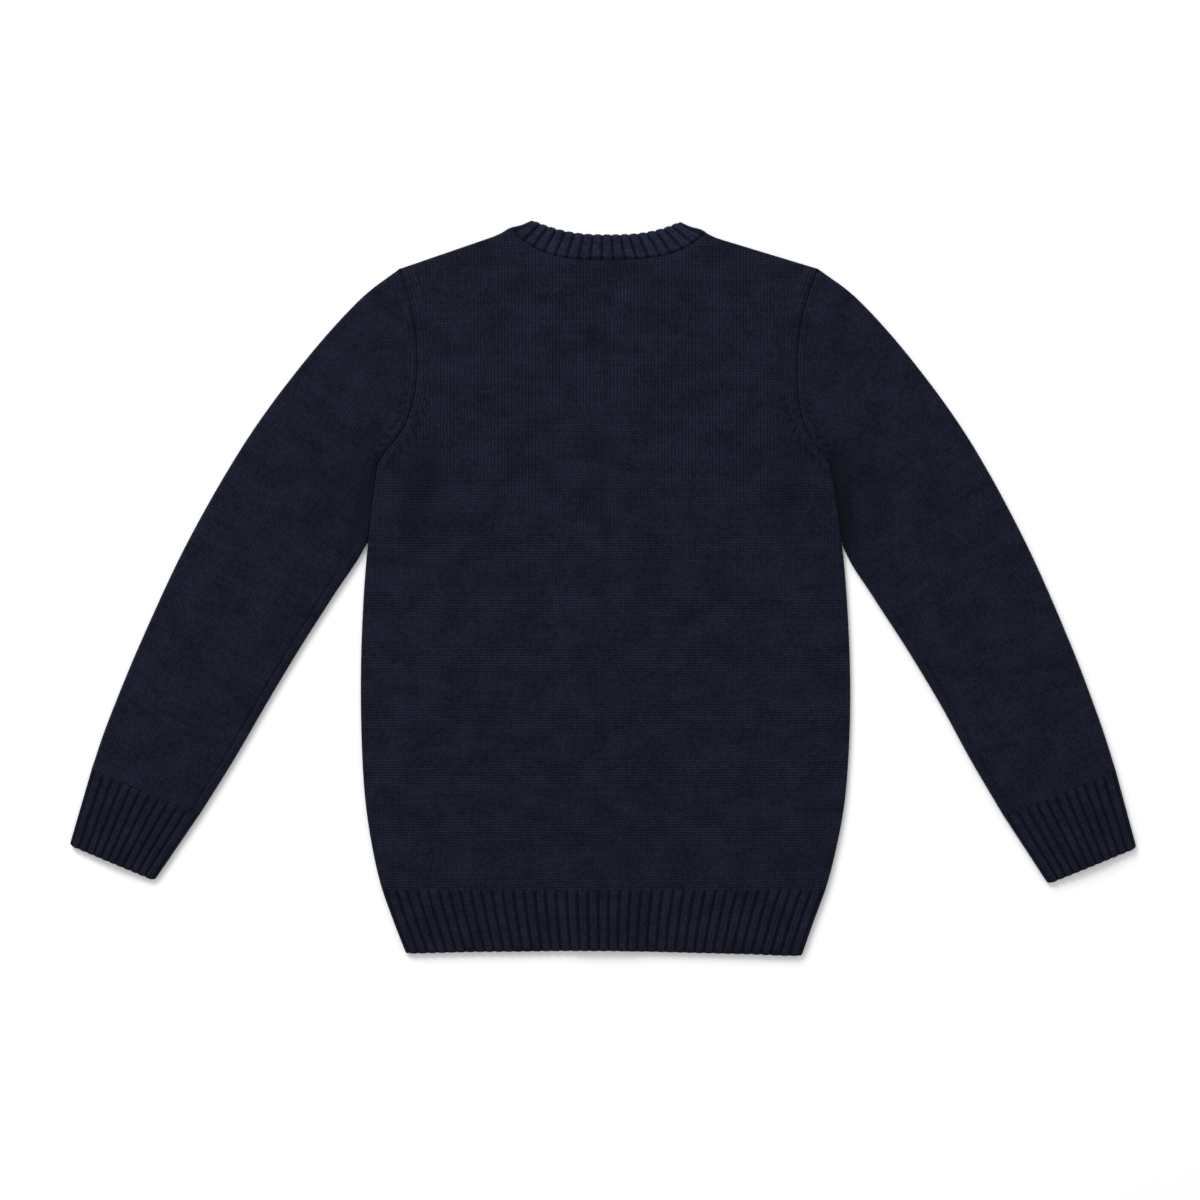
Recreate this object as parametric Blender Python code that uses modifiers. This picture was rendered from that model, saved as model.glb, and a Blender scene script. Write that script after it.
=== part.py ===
"""V-neck cardigan in navy cotton, laid flat on its front with its sleeves spread.

Every piece is a wall of knitted cloth: back, two fronts, two sleeves, ribbed
cuffs, ribbed hem, the ribbed band that runs up both fronts and round the neck,
and the buttons. Seen from above is the back of the cardigan.

The flat plan is drawn in two measures, in metres. `across` is the distance
from the centre back, to the right seen from above, and `up` is the height
above the hem's edge. Along the outline the cloth folds over from the back to
the front, and the two walls meet half way down the fold.
"""

import math
from collections import namedtuple

import bmesh
import bpy
from mathutils import Vector

# Cloth
WALL = 0.0022
SEAM_GAP = 0.0003
RIB_DEPTH = 0.0011
RIB_RIDGE = 0.66            # share of a rib's pitch that its flat ridge takes
RIB_GROOVE = 0.83           # place of the groove's bottom in a rib's pitch

# Height of the laid garment
FOLD_RADIUS = 0.0033
MIDDLE = FOLD_RADIUS
FOLD_STEPS = (0.0, 0.29, 1.0)   # distances from a fold, in fold radii
CROWN = 0.0016
CROWN_RUN = 0.045
NECK_SAG = 0.0036
NECK_SAG_RUN = 0.040
CENTRE_FLAT = 0.016         # half width of the strip that the buttons raise evenly
CENTRE_RUN = 0.030          # width over which the back falls away beside it

# Body, laid flat
HEM_DEPTH = 0.066
UNDERARM_UP = 0.492
SHOULDER_UP = 0.686
CENTRE_BACK_X = 0.0027      # the sleeves lie a little further out on the left
HEM_EDGE_Y = -0.36625
HEM_ARCH = 0.0035           # rise of the hem's edge at the centre back
HEM_BEND_SHARE = 0.4        # place of the hem's middle row in its depth
HEM_STRETCHES = 4

# Neck
NECK_LEFT = (-0.0935, 0.7245)
NECK_RIGHT = (0.1000, 0.7200)
NECK_LOW_UP = 0.6950
NECK_CURVE = 3.4
NECK_NODES = (0.17, 0.34, 0.52, 0.69, 0.86)
NECKBAND_TOP_LEFT = (-0.0735, 0.7325)
NECKBAND_TOP_RIGHT = (0.0745, 0.7305)
NECKBAND_LOW_UP = 0.7195
NECKBAND_CURVE = 2.2

# Front bands, buttons and the lap of the left front over the right
BAND_WIDTH = 0.026
HALF_LAP = BAND_WIDTH / 2
V_BEND_RUN = 0.035          # height over which the front's edge bends into the V
NECK_TURN_RUN = 0.060       # length over which the band narrows to the neck's fold
BUTTON_RADIUS = 0.009
BUTTON_THICKNESS = 0.0022
BUTTON_COUNT = 6
BUTTON_TOP_UP = 0.474
BUTTON_BOTTOM_UP = 0.033
BUTTON_HOLE_RADIUS = 0.0010
BUTTON_HOLE_SPREAD = 0.0021
BUTTON_LIFT = BUTTON_THICKNESS + SEAM_GAP
BUTTON_LIFT_RUN = 0.034
BUTTON_LIFT_TOP_UP = 0.500
BUTTON_LIFT_TOP_RUN = 0.060
BUTTON_SIDES = 18
BUTTON_DISH = 0.0006
BUTTON_BEVEL = 0.0007
BUTTON_LIP = 0.0018
BUTTON_HOLE_SIDES = 6
LAP_LIFT = WALL + SEAM_GAP
LAP_RUN = 0.030
LAP_TOP_UP = 0.535
LAP_TOP_RUN = 0.065
BACK_RIDGE = 0.0016

# Ribs
HEM_RIBS = 42
FRONT_HEM_RIBS = 20
CUFF_RIBS = 12
NECKBAND_RIBS = 18
BAND_RIB_PITCH = 0.0105

# Sections of the body from the hem's edge to the underarm
BodyRow = namedtuple("BodyRow", "up left right")
SIDE = (
    BodyRow(0.000, 0.1985, 0.1975),
    BodyRow(0.035, 0.2118, 0.2092),
    BodyRow(0.066, 0.2225, 0.2200),
    BodyRow(0.095, 0.2305, 0.2280),
    BodyRow(0.135, 0.2375, 0.2360),
    BodyRow(0.175, 0.2415, 0.2405),
    BodyRow(0.235, 0.2445, 0.2432),
    BodyRow(0.295, 0.2445, 0.2430),
    BodyRow(0.355, 0.2415, 0.2405),
    BodyRow(0.400, 0.2385, 0.2378),
    BodyRow(0.455, 0.2325, 0.2305),
    BodyRow(UNDERARM_UP, 0.2275, 0.2240),
)

# Sections of the body from the underarm to the shoulder point
ARMHOLE = (
    BodyRow(UNDERARM_UP, 0.2275, 0.2240),
    BodyRow(0.508, 0.2155, 0.2110),
    BodyRow(0.524, 0.2035, 0.2010),
    BodyRow(0.544, 0.1945, 0.1945),
    BodyRow(0.567, 0.1895, 0.1918),
    BodyRow(0.591, 0.1877, 0.1915),
    BodyRow(0.616, 0.1887, 0.1930),
    BodyRow(0.640, 0.1920, 0.1970),
    BodyRow(0.662, 0.1975, 0.2035),
    BodyRow(SHOULDER_UP, 0.2055, 0.2120),
)

# Stations along a sleeve, from the armhole to the cuff's seam, and the cuff's end
SleeveRow = namedtuple("SleeveRow", "station outer_across outer_up inner_across inner_up")
SLEEVE_LEFT = (
    SleeveRow(0, 0.2055, 0.686, 0.2275, 0.492),
    SleeveRow(1, 0.2455, 0.655, 0.2325, 0.455),
    SleeveRow(2, 0.2995, 0.595, 0.2386, 0.404),
    SleeveRow(3, 0.3585, 0.515, 0.2720, 0.359),
    SleeveRow(4, 0.4165, 0.415, 0.3065, 0.305),
    SleeveRow(5, 0.4635, 0.315, 0.3395, 0.250),
    SleeveRow(6, 0.4965, 0.235, 0.3715, 0.195),
    SleeveRow(7, 0.5135, 0.186, 0.4060, 0.140),
)
SLEEVE_RIGHT = (
    SleeveRow(0, 0.2120, 0.686, 0.2240, 0.492),
    SleeveRow(1, 0.2525, 0.655, 0.2305, 0.455),
    SleeveRow(2, 0.3060, 0.595, 0.2380, 0.402),
    SleeveRow(3, 0.3635, 0.515, 0.2675, 0.358),
    SleeveRow(4, 0.4185, 0.415, 0.3025, 0.304),
    SleeveRow(5, 0.4630, 0.315, 0.3355, 0.249),
    SleeveRow(6, 0.4935, 0.235, 0.3655, 0.194),
    SleeveRow(7, 0.5100, 0.184, 0.3980, 0.139),
)
CUFF_END_LEFT = SleeveRow(8, 0.5347, 0.109, 0.4510, 0.0755)
CUFF_END_RIGHT = SleeveRow(8, 0.5293, 0.107, 0.4425, 0.0725)
RINGS_PER_STATION = 2
UNDERARM_GAP = 0.0005       # between a sleeve and the body's side below the underarm
STATION_STEP = 0.05         # step along a sleeve from which its edges' slope is taken
NEAR_ARMHOLE = 0.07         # station of the ring just past the armhole's seam
ARMHOLE_EASE = 3.0          # stations over which the armhole's curve dies out
UNDERARM_SHARE = 0.55       # share of the armhole past which a ring leaves its curve
UNDERARM_EASE = 0.5         # stations over which it does

# Soft troughs pressed into the back beside each underarm
Trough = namedtuple("Trough", "across low high depth half_width")
TROUGHS = (
    Trough(-0.182, 0.385, 0.530, 0.0013, 0.030),
    Trough(0.184, 0.405, 0.530, 0.0011, 0.028),
)

NAVY_YARN = (0.0115, 0.0130, 0.0245, 1.0)
NAVY_RIB = (0.0105, 0.0120, 0.0235, 1.0)
DARK_HORN = (0.0120, 0.0115, 0.0130, 1.0)
CLOTH_ROUGHNESS = 0.9
HORN_ROUGHNESS = 0.35
SHARP_ANGLE = math.radians(32)


def start_empty():
    """Removes the scene's objects and returns the collections for the model."""
    for item in list(bpy.data.objects):
        bpy.data.objects.remove(item, do_unlink=True)
    made = []
    for name in ("v_neck_cardigan", "cutters"):
        group = bpy.data.collections.new(name)
        bpy.context.scene.collection.children.link(group)
        made.append(group)
    return made


MODEL, CUTTERS = start_empty()


def plain_material(name, colour, roughness=CLOTH_ROUGHNESS):
    material = bpy.data.materials.new(name)
    material.use_nodes = True
    shader = material.node_tree.nodes["Principled BSDF"]
    shader.inputs["Base Color"].default_value = colour
    shader.inputs["Roughness"].default_value = roughness
    shader.inputs["Metallic"].default_value = 0.0
    return material


# ------------------------------------------------------------ plan geometry

def ease(value):
    """A smooth step from 0 at 0 to 1 at 1."""
    value = min(max(value, 0.0), 1.0)
    return value * value * (3.0 - 2.0 * value)


def smooth_table(table, key):
    """A table's row at key, on smooth curves through its rows; column 0 is the key."""
    last = len(table) - 1
    span = 0
    while span < last - 1 and key > table[span + 1][0]:
        span += 1
    low = table[span]
    high = table[span + 1]
    before = table[max(span - 1, 0)]
    after = table[min(span + 2, last)]
    step = high[0] - low[0]
    t = (key - low[0]) / step
    row = [key]
    for column in range(1, len(low)):
        slope_low = (high[column] - before[column]) / (high[0] - before[0]) * step
        slope_high = (after[column] - low[column]) / (after[0] - low[0]) * step
        row.append(
            (2 * t ** 3 - 3 * t ** 2 + 1) * low[column]
            + (t ** 3 - 2 * t ** 2 + t) * slope_low
            + (3 * t ** 2 - 2 * t ** 3) * high[column]
            + (t ** 3 - t ** 2) * slope_high
        )
    return type(low)(*row)


def segment_distance(point, start, end):
    """Distance from a plan point to a straight stretch."""
    run = end - start
    share = (point - start).dot(run) / run.length_squared
    return (point - start - run * min(max(share, 0.0), 1.0)).length


def path_length(path):
    return sum((b - a).length for a, b in zip(path, path[1:]))


def path_place(path, distance):
    """The stretch of a plan path, and the share of it, that a distance reaches."""
    for index, (start, end) in enumerate(zip(path, path[1:])):
        length = (end - start).length
        if distance <= length or index == len(path) - 2:
            return index, min(distance / length, 1.0)
        distance -= length
    return 0, 0.0


def offset_path(path, distance):
    """A plan path moved sideways, to the left of its direction."""
    moved = []
    for index, point in enumerate(path):
        before = (point - path[index - 1]).normalized() if index else None
        after = (path[index + 1] - point).normalized() if index < len(path) - 1 else None
        before = before or after
        after = after or before
        normal_a = Vector((-before.y, before.x))
        normal_b = Vector((-after.y, after.x))
        middle = (normal_a + normal_b).normalized()
        moved.append(point + middle * distance / middle.dot(normal_a))
    return moved


def edge_place(side, row):
    """Plan point of the body's edge; side is -1 for the left and 1 for the right."""
    return Vector((-row.left if side < 0 else row.right, row.up))


def side_path(side, from_up):
    """Body's side edge from a height up to the underarm."""
    return [edge_place(side, row) for row in SIDE if row.up >= from_up]


def hem_edge_up(across):
    """Height of the hem's edge, which arches a little at the centre."""
    return HEM_ARCH * (1.0 - (across / SIDE[0].left) ** 2)


def armhole_path(side):
    """Armhole from the underarm to the shoulder point, with points near its folds."""
    path = [edge_place(side, row) for row in ARMHOLE]
    low = (path[1] - path[0]).normalized() * FOLD_RADIUS
    high = (path[-2] - path[-1]).normalized() * FOLD_RADIUS
    near_shoulder = [path[-1] + high * step for step in reversed(FOLD_STEPS[1:])]
    return [path[0], path[0] + low] + path[1:-1] + near_shoulder + [path[-1]]


def sleeve_table(side):
    return SLEEVE_LEFT if side < 0 else SLEEVE_RIGHT


def outer_and_inner(side, row):
    """Plan points of a sleeve's outer and inner edge."""
    return (Vector((side * row.outer_across, row.outer_up)),
            Vector((side * row.inner_across, row.inner_up)))


def beside_body(side, point):
    """A point of a sleeve's inner edge, kept just clear of the body's side."""
    path = side_path(side, 0.0)
    for low, high in zip(path, path[1:]):
        if low.y <= point.y <= high.y:
            edge = low.lerp(high, (point.y - low.y) / (high.y - low.y))
            return Vector((side * max(side * point.x, side * edge.x + UNDERARM_GAP), point.y))
    return point


def sleeve_edges(side, station):
    outer, inner = outer_and_inner(side, smooth_table(sleeve_table(side), station))
    return outer, beside_body(side, inner) if station else inner


def cuff_edges(side):
    return outer_and_inner(side, CUFF_END_LEFT if side < 0 else CUFF_END_RIGHT)


def neck_point(side):
    return Vector(NECK_LEFT if side < 0 else NECK_RIGHT)


def shoulder_point(side):
    return armhole_path(side)[-1]


def hollow_curve(across, left, right, low_up, power):
    """Height of a neck curve that dips to low_up at the centre back."""
    end = left if across < 0 else right
    return low_up + (end[1] - low_up) * (abs(across) / abs(end[0])) ** power


def outline():
    """Stretches of the outline where the cloth folds from back to front."""
    stretches = []
    for side in (-1, 1):
        edge = side_path(side, 0.0)
        stretches += list(zip(edge, edge[1:]))
        stretches.append((shoulder_point(side), neck_point(side)))
        pairs = [sleeve_edges(side, index) for index in range(len(sleeve_table(side)))]
        pairs.append(cuff_edges(side))
        for which in (0, 1):
            run = [pair[which] for pair in pairs]
            stretches += list(zip(run, run[1:]))
    return stretches


OUTLINE = outline()


# --------------------------------------------------------- heights of layers

def centre_ridge(across, half_flat, run):
    return 1.0 - ease((abs(across) - half_flat) / run)


def inside_neck(point):
    """How far a plan point lies inside the V of the front bands' free edges."""
    margins = []
    for side in (-1, 1):
        neck = neck_point(side)
        down = (Vector((side * HALF_LAP, UNDERARM_UP)) - neck).normalized()
        normal = Vector((-side * abs(down.y), abs(down.x)))
        margins.append((point - neck).dot(normal) - BAND_WIDTH)
    return min(margins)


def upper_lift(point):
    """How much the upper layer rises above the height of the folds."""
    distance = min(segment_distance(point, a, b) for a, b in OUTLINE)
    lift = CROWN * ease(distance / CROWN_RUN)
    centre = centre_ridge(point.x, CENTRE_FLAT, CENTRE_RUN)
    hem = max(1.0 - point.y / HEM_DEPTH, 0.0) if abs(point.x) < shoulder_point(1).x else 0.0
    lift *= 1.0 - (1.0 - centre) * hem ** 2
    lift += BACK_RIDGE * centre * (1.0 - ease((point.y - LAP_TOP_UP) / LAP_TOP_RUN))
    lift -= NECK_SAG * ease(inside_neck(point) / NECK_SAG_RUN)
    for trough in TROUGHS:
        low = Vector((trough.across, trough.low))
        high = Vector((trough.across, trough.high))
        away = segment_distance(point, low, high)
        lift -= trough.depth * (1.0 - ease(away / trough.half_width))
    return lift


def lower_lift(point, right_side):
    """How much the buttons, and the left band on the right front, raise a front."""
    lift = BUTTON_LIFT * centre_ridge(point.x, CENTRE_FLAT, BUTTON_LIFT_RUN)
    lift *= 1.0 - ease((point.y - BUTTON_LIFT_TOP_UP) / BUTTON_LIFT_TOP_RUN)
    if right_side:
        lap = 1.0 - ease((point.x - HALF_LAP) / LAP_RUN)
        lift += LAP_LIFT * lap * (1.0 - ease((point.y - LAP_TOP_UP) / LAP_TOP_RUN))
    return lift


def wall_pair(point, inward, from_fold, layer, seam=SEAM_GAP / 2):
    """Outer and inner point of the wall at a plan point.

    from_fold is the distance from the nearest fold and inward the direction
    away from it. layer is "upper", "lower left" or "lower right".
    """
    lean = math.pi / 2
    if from_fold < FOLD_RADIUS:
        lean = math.acos(1.0 - from_fold / FOLD_RADIUS)
    rise = math.sin(lean)
    outer_high = seam + (FOLD_RADIUS - seam) * rise
    inner_high = seam + (FOLD_RADIUS - seam - WALL) * rise
    inner_plan = point + inward * WALL * math.cos(lean)
    if layer == "upper":
        base = MIDDLE + upper_lift(point) * rise
        return point.to_3d() + Vector((0, 0, base + outer_high)), \
            inner_plan.to_3d() + Vector((0, 0, base + inner_high))
    base = MIDDLE + lower_lift(point, layer == "lower right") * rise
    return point.to_3d() + Vector((0, 0, base - outer_high)), \
        inner_plan.to_3d() + Vector((0, 0, base - inner_high))


# ------------------------------------------------------------- wall builders

def skin(mesh, rows, closed):
    """Quads between rows of vertices."""
    cells = len(rows[0]) if closed else len(rows[0]) - 1
    for low, high in zip(rows, rows[1:]):
        for index in range(cells):
            follow = (index + 1) % len(low)
            mesh.faces.new((low[index], low[follow], high[follow], high[index]))


def rim(mesh, outer, inner, step, closed):
    """Closes the wall's edge along one row, step outer cells to an inner cell."""
    cells = len(inner) if closed else len(inner) - 1
    for index in range(cells):
        over = [outer[(index * step + k) % len(outer)] for k in range(step + 1)]
        mesh.faces.new(over + [inner[(index + 1) % len(inner)], inner[index]])


def wall(name, outer, inner, material, step=1, closed=False):
    """One closed solid from rows of outer points and rows of inner points."""
    shift = Vector((CENTRE_BACK_X, HEM_EDGE_Y, 0.0))
    mesh = bmesh.new()
    outer_rows = [[mesh.verts.new(point + shift) for point in row] for row in outer]
    inner_rows = [[mesh.verts.new(point + shift) for point in row] for row in inner]
    skin(mesh, outer_rows, closed)
    skin(mesh, inner_rows, closed)
    for end in (0, -1):
        rim(mesh, outer_rows[end], inner_rows[end], step, closed)
        if not closed:
            outer_edge = [row[end] for row in outer_rows]
            inner_edge = [row[end] for row in inner_rows]
            rim(mesh, outer_edge, inner_edge, 1, False)
    bmesh.ops.recalc_face_normals(mesh, faces=mesh.faces)
    data = bpy.data.meshes.new(name)
    mesh.to_mesh(data)
    mesh.free()
    data.materials.append(material)
    data.shade_smooth()
    data.set_sharp_from_angle(angle=SHARP_ANGLE)
    MODEL.objects.link(bpy.data.objects.new(name, data))


def panel(name, rows, layer, side_folds, top_folds, material):
    """A plain knitted panel on rows of plan points, lowest row first.

    side_folds gives, for each row, whether its start and its end are folded.
    top_folds gives, for each column, whether the top row is folded there.
    """
    outer = []
    inner = []
    for row, (start_fold, end_fold) in zip(rows, side_folds):
        outer.append([])
        inner.append([])
        for column, point in enumerate(row):
            folds = [(FOLD_RADIUS, Vector((0.0, 0.0)))]
            if start_fold:
                folds.append(((point - row[0]).length, (row[1] - row[0]).normalized()))
            if end_fold:
                folds.append(((point - row[-1]).length, (row[-2] - row[-1]).normalized()))
            if top_folds[column]:
                top = rows[-1][column]
                down = (rows[-2][column] - top).normalized()
                folds.append(((point - top).length, down))
            from_fold, inward = min(folds, key=lambda fold: fold[0])
            pair = wall_pair(point, inward, from_fold, layer)
            outer[-1].append(pair[0])
            inner[-1].append(pair[1])
    wall(name, outer, inner, material)


def rib_shares(ribs):
    """Shares of a strip's length at each ridge's start and end and each groove."""
    shares = []
    for rib in range(ribs):
        shares += [(rib + place) / ribs for place in (0.0, RIB_RIDGE, RIB_GROOVE)]
    return shares + [1.0]


def cloth_to_plan(width, share, folds):
    """Plan distance across a strip at a share of its cloth, which turns down at folds."""
    turn = FOLD_RADIUS * math.pi / 2
    spare = turn - FOLD_RADIUS
    cloth = width + spare * (folds[0] + folds[1])
    run = share * cloth
    if folds[0] and run < turn:
        return FOLD_RADIUS * (1.0 - math.cos(run / FOLD_RADIUS))
    if folds[1] and cloth - run < turn:
        return width - FOLD_RADIUS * (1.0 - math.cos((cloth - run) / FOLD_RADIUS))
    return run - spare * folds[0]


def rib_places(path, ribs, folds):
    """Places along a plan path of each rib's ridge and groove."""
    width = path_length(path)
    return [path_place(path, cloth_to_plan(width, share, folds)) for share in rib_shares(ribs)]


def rib_row(path, places, folds, layer, seam=SEAM_GAP / 2):
    """Outer and inner points of one row of a ribbed strip along a plan path."""
    first = (path[1] - path[0]).normalized()
    last = (path[-2] - path[-1]).normalized()
    far = FOLD_RADIUS
    outer = []
    inner = []
    for index, (stretch, share) in enumerate(places):
        point = path[stretch].lerp(path[stretch + 1], share)
        from_start = (point - path[0]).length if folds[0] else far
        from_end = (point - path[-1]).length if folds[1] else far
        inward = first if from_start < from_end else last
        pair = wall_pair(point, inward, min(from_start, from_end), layer, seam)
        groove = RIB_DEPTH / WALL if index % 3 == 2 else 0.0
        outer.append(pair[0].lerp(pair[1], groove))
        if index % 3 == 0:
            inner.append(pair[1])
    return outer, inner


def ribbed_strip(name, paths, ribs, folds, layer, material):
    """A ribbed strip; paths are its rows, and the ribs run from row to row."""
    places = rib_places(paths[0], ribs, folds)
    rows = [rib_row(path, places, folds, layer) for path in paths]
    wall(name, [row[0] for row in rows], [row[1] for row in rows], material, step=3)


# --------------------------------------------------------------- back, fronts

FOLDED_ROWS = len(side_path(-1, HEM_DEPTH))
SHOULDER_COLUMNS = 4
FRONT_COLUMNS = 6
TOP_FOLLOW_POWER = 1.5


def body_levels(side):
    """Edge points of a body panel on one side, from the hem's seam to the top."""
    seam = side_path(side, HEM_DEPTH)
    seam[0] = seam[0] + Vector((0.0, SEAM_GAP / 2))
    return seam[:-1] + armhole_path(side)


def level_weights():
    """How far each row of a panel follows the panel's top edge, from 0 to 1."""
    weights = []
    for point in body_levels(-1):
        share = max(point.y - UNDERARM_UP, 0.0) / (SHOULDER_UP - UNDERARM_UP)
        weights.append(share ** TOP_FOLLOW_POWER)
    return weights


def back_top_path():
    """Top edge of the back: left shoulder, neck curve, right shoulder."""
    path = []
    for side in (-1, 1):
        shoulder = shoulder_point(side)
        neck = neck_point(side)
        run = (neck - shoulder).normalized() * FOLD_RADIUS
        half = [shoulder + run * step for step in FOLD_STEPS]
        for column in range(1, SHOULDER_COLUMNS + 1):
            half.append(shoulder.lerp(neck, column / SHOULDER_COLUMNS))
        nodes = (1.0 - FOLD_RADIUS / abs(neck.x),) + NECK_NODES[::-1]
        for node in nodes:
            across = neck.x * node
            half.append(Vector((across, neck_seam_up(across))))
        if side > 0:
            half.reverse()
            half.insert(0, Vector((0.0, neck_seam_up(0.0))))
        path += half
    return path


def neck_seam_up(across):
    return hollow_curve(across, NECK_LEFT, NECK_RIGHT, NECK_LOW_UP, NECK_CURVE)


def make_back():
    """The back: one panel from the hem's rib to the shoulders and the neck."""
    top = back_top_path()
    last = len(top) - 1
    left = body_levels(-1)
    right = body_levels(1)
    rows = []
    for start, end, weight in zip(left, right, level_weights()):
        across = (end - start).normalized()
        row = []
        for column, place in enumerate(top):
            share = (place.x - top[0].x) / (top[-1].x - top[0].x)
            point = start.lerp(end, share)
            if column < len(FOLD_STEPS):
                point = start + across * FOLD_RADIUS * FOLD_STEPS[column]
            if last - column < len(FOLD_STEPS):
                point = end - across * FOLD_RADIUS * FOLD_STEPS[last - column]
            point.y += weight * (place.y - SHOULDER_UP)
            row.append(point)
        rows.append(row)
    for back_step, row_index in ((FOLD_STEPS[2], -3), (FOLD_STEPS[1], -2)):
        for column in range(1, last):
            place = top[column]
            rows[row_index][column] = place - Vector((0.0, FOLD_RADIUS * back_step))
    rows[-1] = top
    shoulder = len(FOLD_STEPS) + SHOULDER_COLUMNS
    top_folds = [column < shoulder or last - column < shoulder for column in range(last + 1)]
    side_folds = [(index < FOLDED_ROWS,) * 2 for index in range(len(rows))]
    material = plain_material("back_knit", NAVY_YARN)
    panel("back", rows, "upper", side_folds, top_folds, material)


def v_edge(side, up):
    """Point of the front's edge at a height, and its slope outwards there.

    The edge runs straight up beside the centre and bends into the V.
    """
    neck = neck_point(side)
    slope = (abs(neck.x) - HALF_LAP) / (neck.y - UNDERARM_UP)
    above = up - UNDERARM_UP
    turned = min(max((above + V_BEND_RUN) / (2 * V_BEND_RUN), 0.0), 1.0)
    rise = max(above, 0.0) if turned in (0.0, 1.0) else turned ** 2 * V_BEND_RUN
    return Vector((side * (HALF_LAP + slope * rise), up)), slope * turned


def front_edge(side):
    """Nodes of the front's edge, one for each row of the panel, from the hem's seam."""
    neck = neck_point(side)
    nodes = []
    for start, weight in zip(body_levels(side), level_weights()):
        nodes.append(v_edge(side, start.y + weight * (neck.y - SHOULDER_UP))[0])
    down = (nodes[-4] - neck).normalized() * FOLD_RADIUS
    nodes[-3:] = [neck + down * step for step in reversed(FOLD_STEPS)]
    return nodes


def make_front(side, name, layer):
    """A front: a panel from the side seam to the edge that carries the band."""
    rows = []
    for start, node in zip(body_levels(side), front_edge(side)):
        end = node + Vector((side * SEAM_GAP / 2, 0.0))
        across = (end - start).normalized()
        row = [start + across * FOLD_RADIUS * step for step in FOLD_STEPS]
        for column in range(1, FRONT_COLUMNS + 1):
            row.append(start.lerp(end, column / FRONT_COLUMNS))
        rows.append(row)
    side_folds = [(index < FOLDED_ROWS, False) for index in range(len(rows))]
    material = plain_material(name + "_knit", NAVY_YARN)
    panel(name, rows, layer, side_folds, [True] * len(rows[0]), material)


# -------------------------------------------------------------------- sleeves

def across_edge(side, station, which):
    """Plan direction from a sleeve's edge straight into the sleeve."""
    before = sleeve_edges(side, station - STATION_STEP)[which]
    after = sleeve_edges(side, station + STATION_STEP)[which]
    along = (after - before).normalized()
    turn = side if which == 0 else -side
    return Vector((along.y, -along.x)) * turn


def sleeve_ring(side, station):
    """Plan points across a sleeve from its outer to its inner edge, and the
    directions in which the cloth leaves the two."""
    armhole = armhole_path(side)[::-1]
    armhole = [armhole[0]] + armhole[3:-2] + [armhole[-1]]
    if station == 0:
        nodes = offset_path(armhole, side * SEAM_GAP)
        inward = [(nodes[1] - nodes[0]).normalized(), (nodes[-2] - nodes[-1]).normalized()]
    else:
        edges = sleeve_edges(side, station)
        inward = [across_edge(side, station, which) for which in (0, 1)]
        if station == len(sleeve_table(side)) - 1:
            inward = [(edges[1] - edges[0]).normalized(), (edges[0] - edges[1]).normalized()]
        begin, finish = [edge + away * FOLD_RADIUS for edge, away in zip(edges, inward)]
        nodes = []
        run = 0.0
        for index, point in enumerate(armhole):
            run += (point - armhole[max(index - 1, 0)]).length
            share = run / path_length(armhole)
            bulge = point - armhole[0].lerp(armhole[-1], share)
            leaving = ease((share - UNDERARM_SHARE) / (1.0 - UNDERARM_SHARE))
            bulge *= 1.0 - leaving * min(station / UNDERARM_EASE, 1.0)
            bulge *= 1.0 - ease(station / ARMHOLE_EASE)
            nodes.append(begin.lerp(finish, share) + bulge)
        nodes[0], nodes[-1] = edges
    start = [nodes[0] + inward[0] * FOLD_RADIUS * step for step in FOLD_STEPS]
    end = [nodes[-1] + inward[1] * FOLD_RADIUS * step for step in reversed(FOLD_STEPS)]
    return start + nodes[1:-1] + end, inward


def make_sleeve(side, name, layer):
    """A sleeve: a flattened tube from the armhole to the cuff's seam."""
    last = len(sleeve_table(side)) - 1
    stations = [0.0, NEAR_ARMHOLE]
    stations += [step / RINGS_PER_STATION for step in range(1, last * RINGS_PER_STATION + 1)]
    outer = []
    inner = []
    for station in stations:
        ring, inward = sleeve_ring(side, station)
        loops = ([], [])
        for which, order in (("upper", ring[:-1]), (layer, ring[:0:-1])):
            for point in order:
                from_start = (point - ring[0]).length
                from_end = (point - ring[-1]).length
                direction = inward[0] if from_start < from_end else inward[1]
                pair = wall_pair(point, direction, min(from_start, from_end), which, 0.0)
                loops[0].append(pair[0])
                loops[1].append(pair[1])
        outer.append(loops[0])
        inner.append(loops[1])
    wall(name, outer, inner, plain_material(name + "_knit", NAVY_YARN), closed=True)


CUFF_GAP = SEAM_GAP * 1.1   # measured along the cuff's edge, which leans on the seam


def make_cuff(side, name, layer):
    """A cuff: a ribbed tube from the sleeve's seam to the wrist."""
    seam_outer, seam_inner = sleeve_edges(side, len(sleeve_table(side)) - 1)
    end_outer, end_inner = cuff_edges(side)
    gap = (end_outer - seam_outer).normalized() * CUFF_GAP
    folds = (True, True)
    start = [seam_outer + gap, seam_inner + gap]
    places = rib_places(start, CUFF_RIBS, folds)
    outer = []
    inner = []
    for share in (0.0, 0.5, 1.0):
        path = [start[0].lerp(end_outer, share), start[1].lerp(end_inner, share)]
        over = rib_row(path, places, folds, "upper", 0.0)
        under = rib_row(path[::-1], places, folds, layer, 0.0)
        outer.append(over[0][:-1] + under[0][:-1])
        inner.append(over[1][:-1] + under[1][:-1])
    material = plain_material(name + "_rib", NAVY_RIB)
    wall(name, outer, inner, material, step=3, closed=True)


# ------------------------------------------------------- hem, neckband, bands

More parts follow.
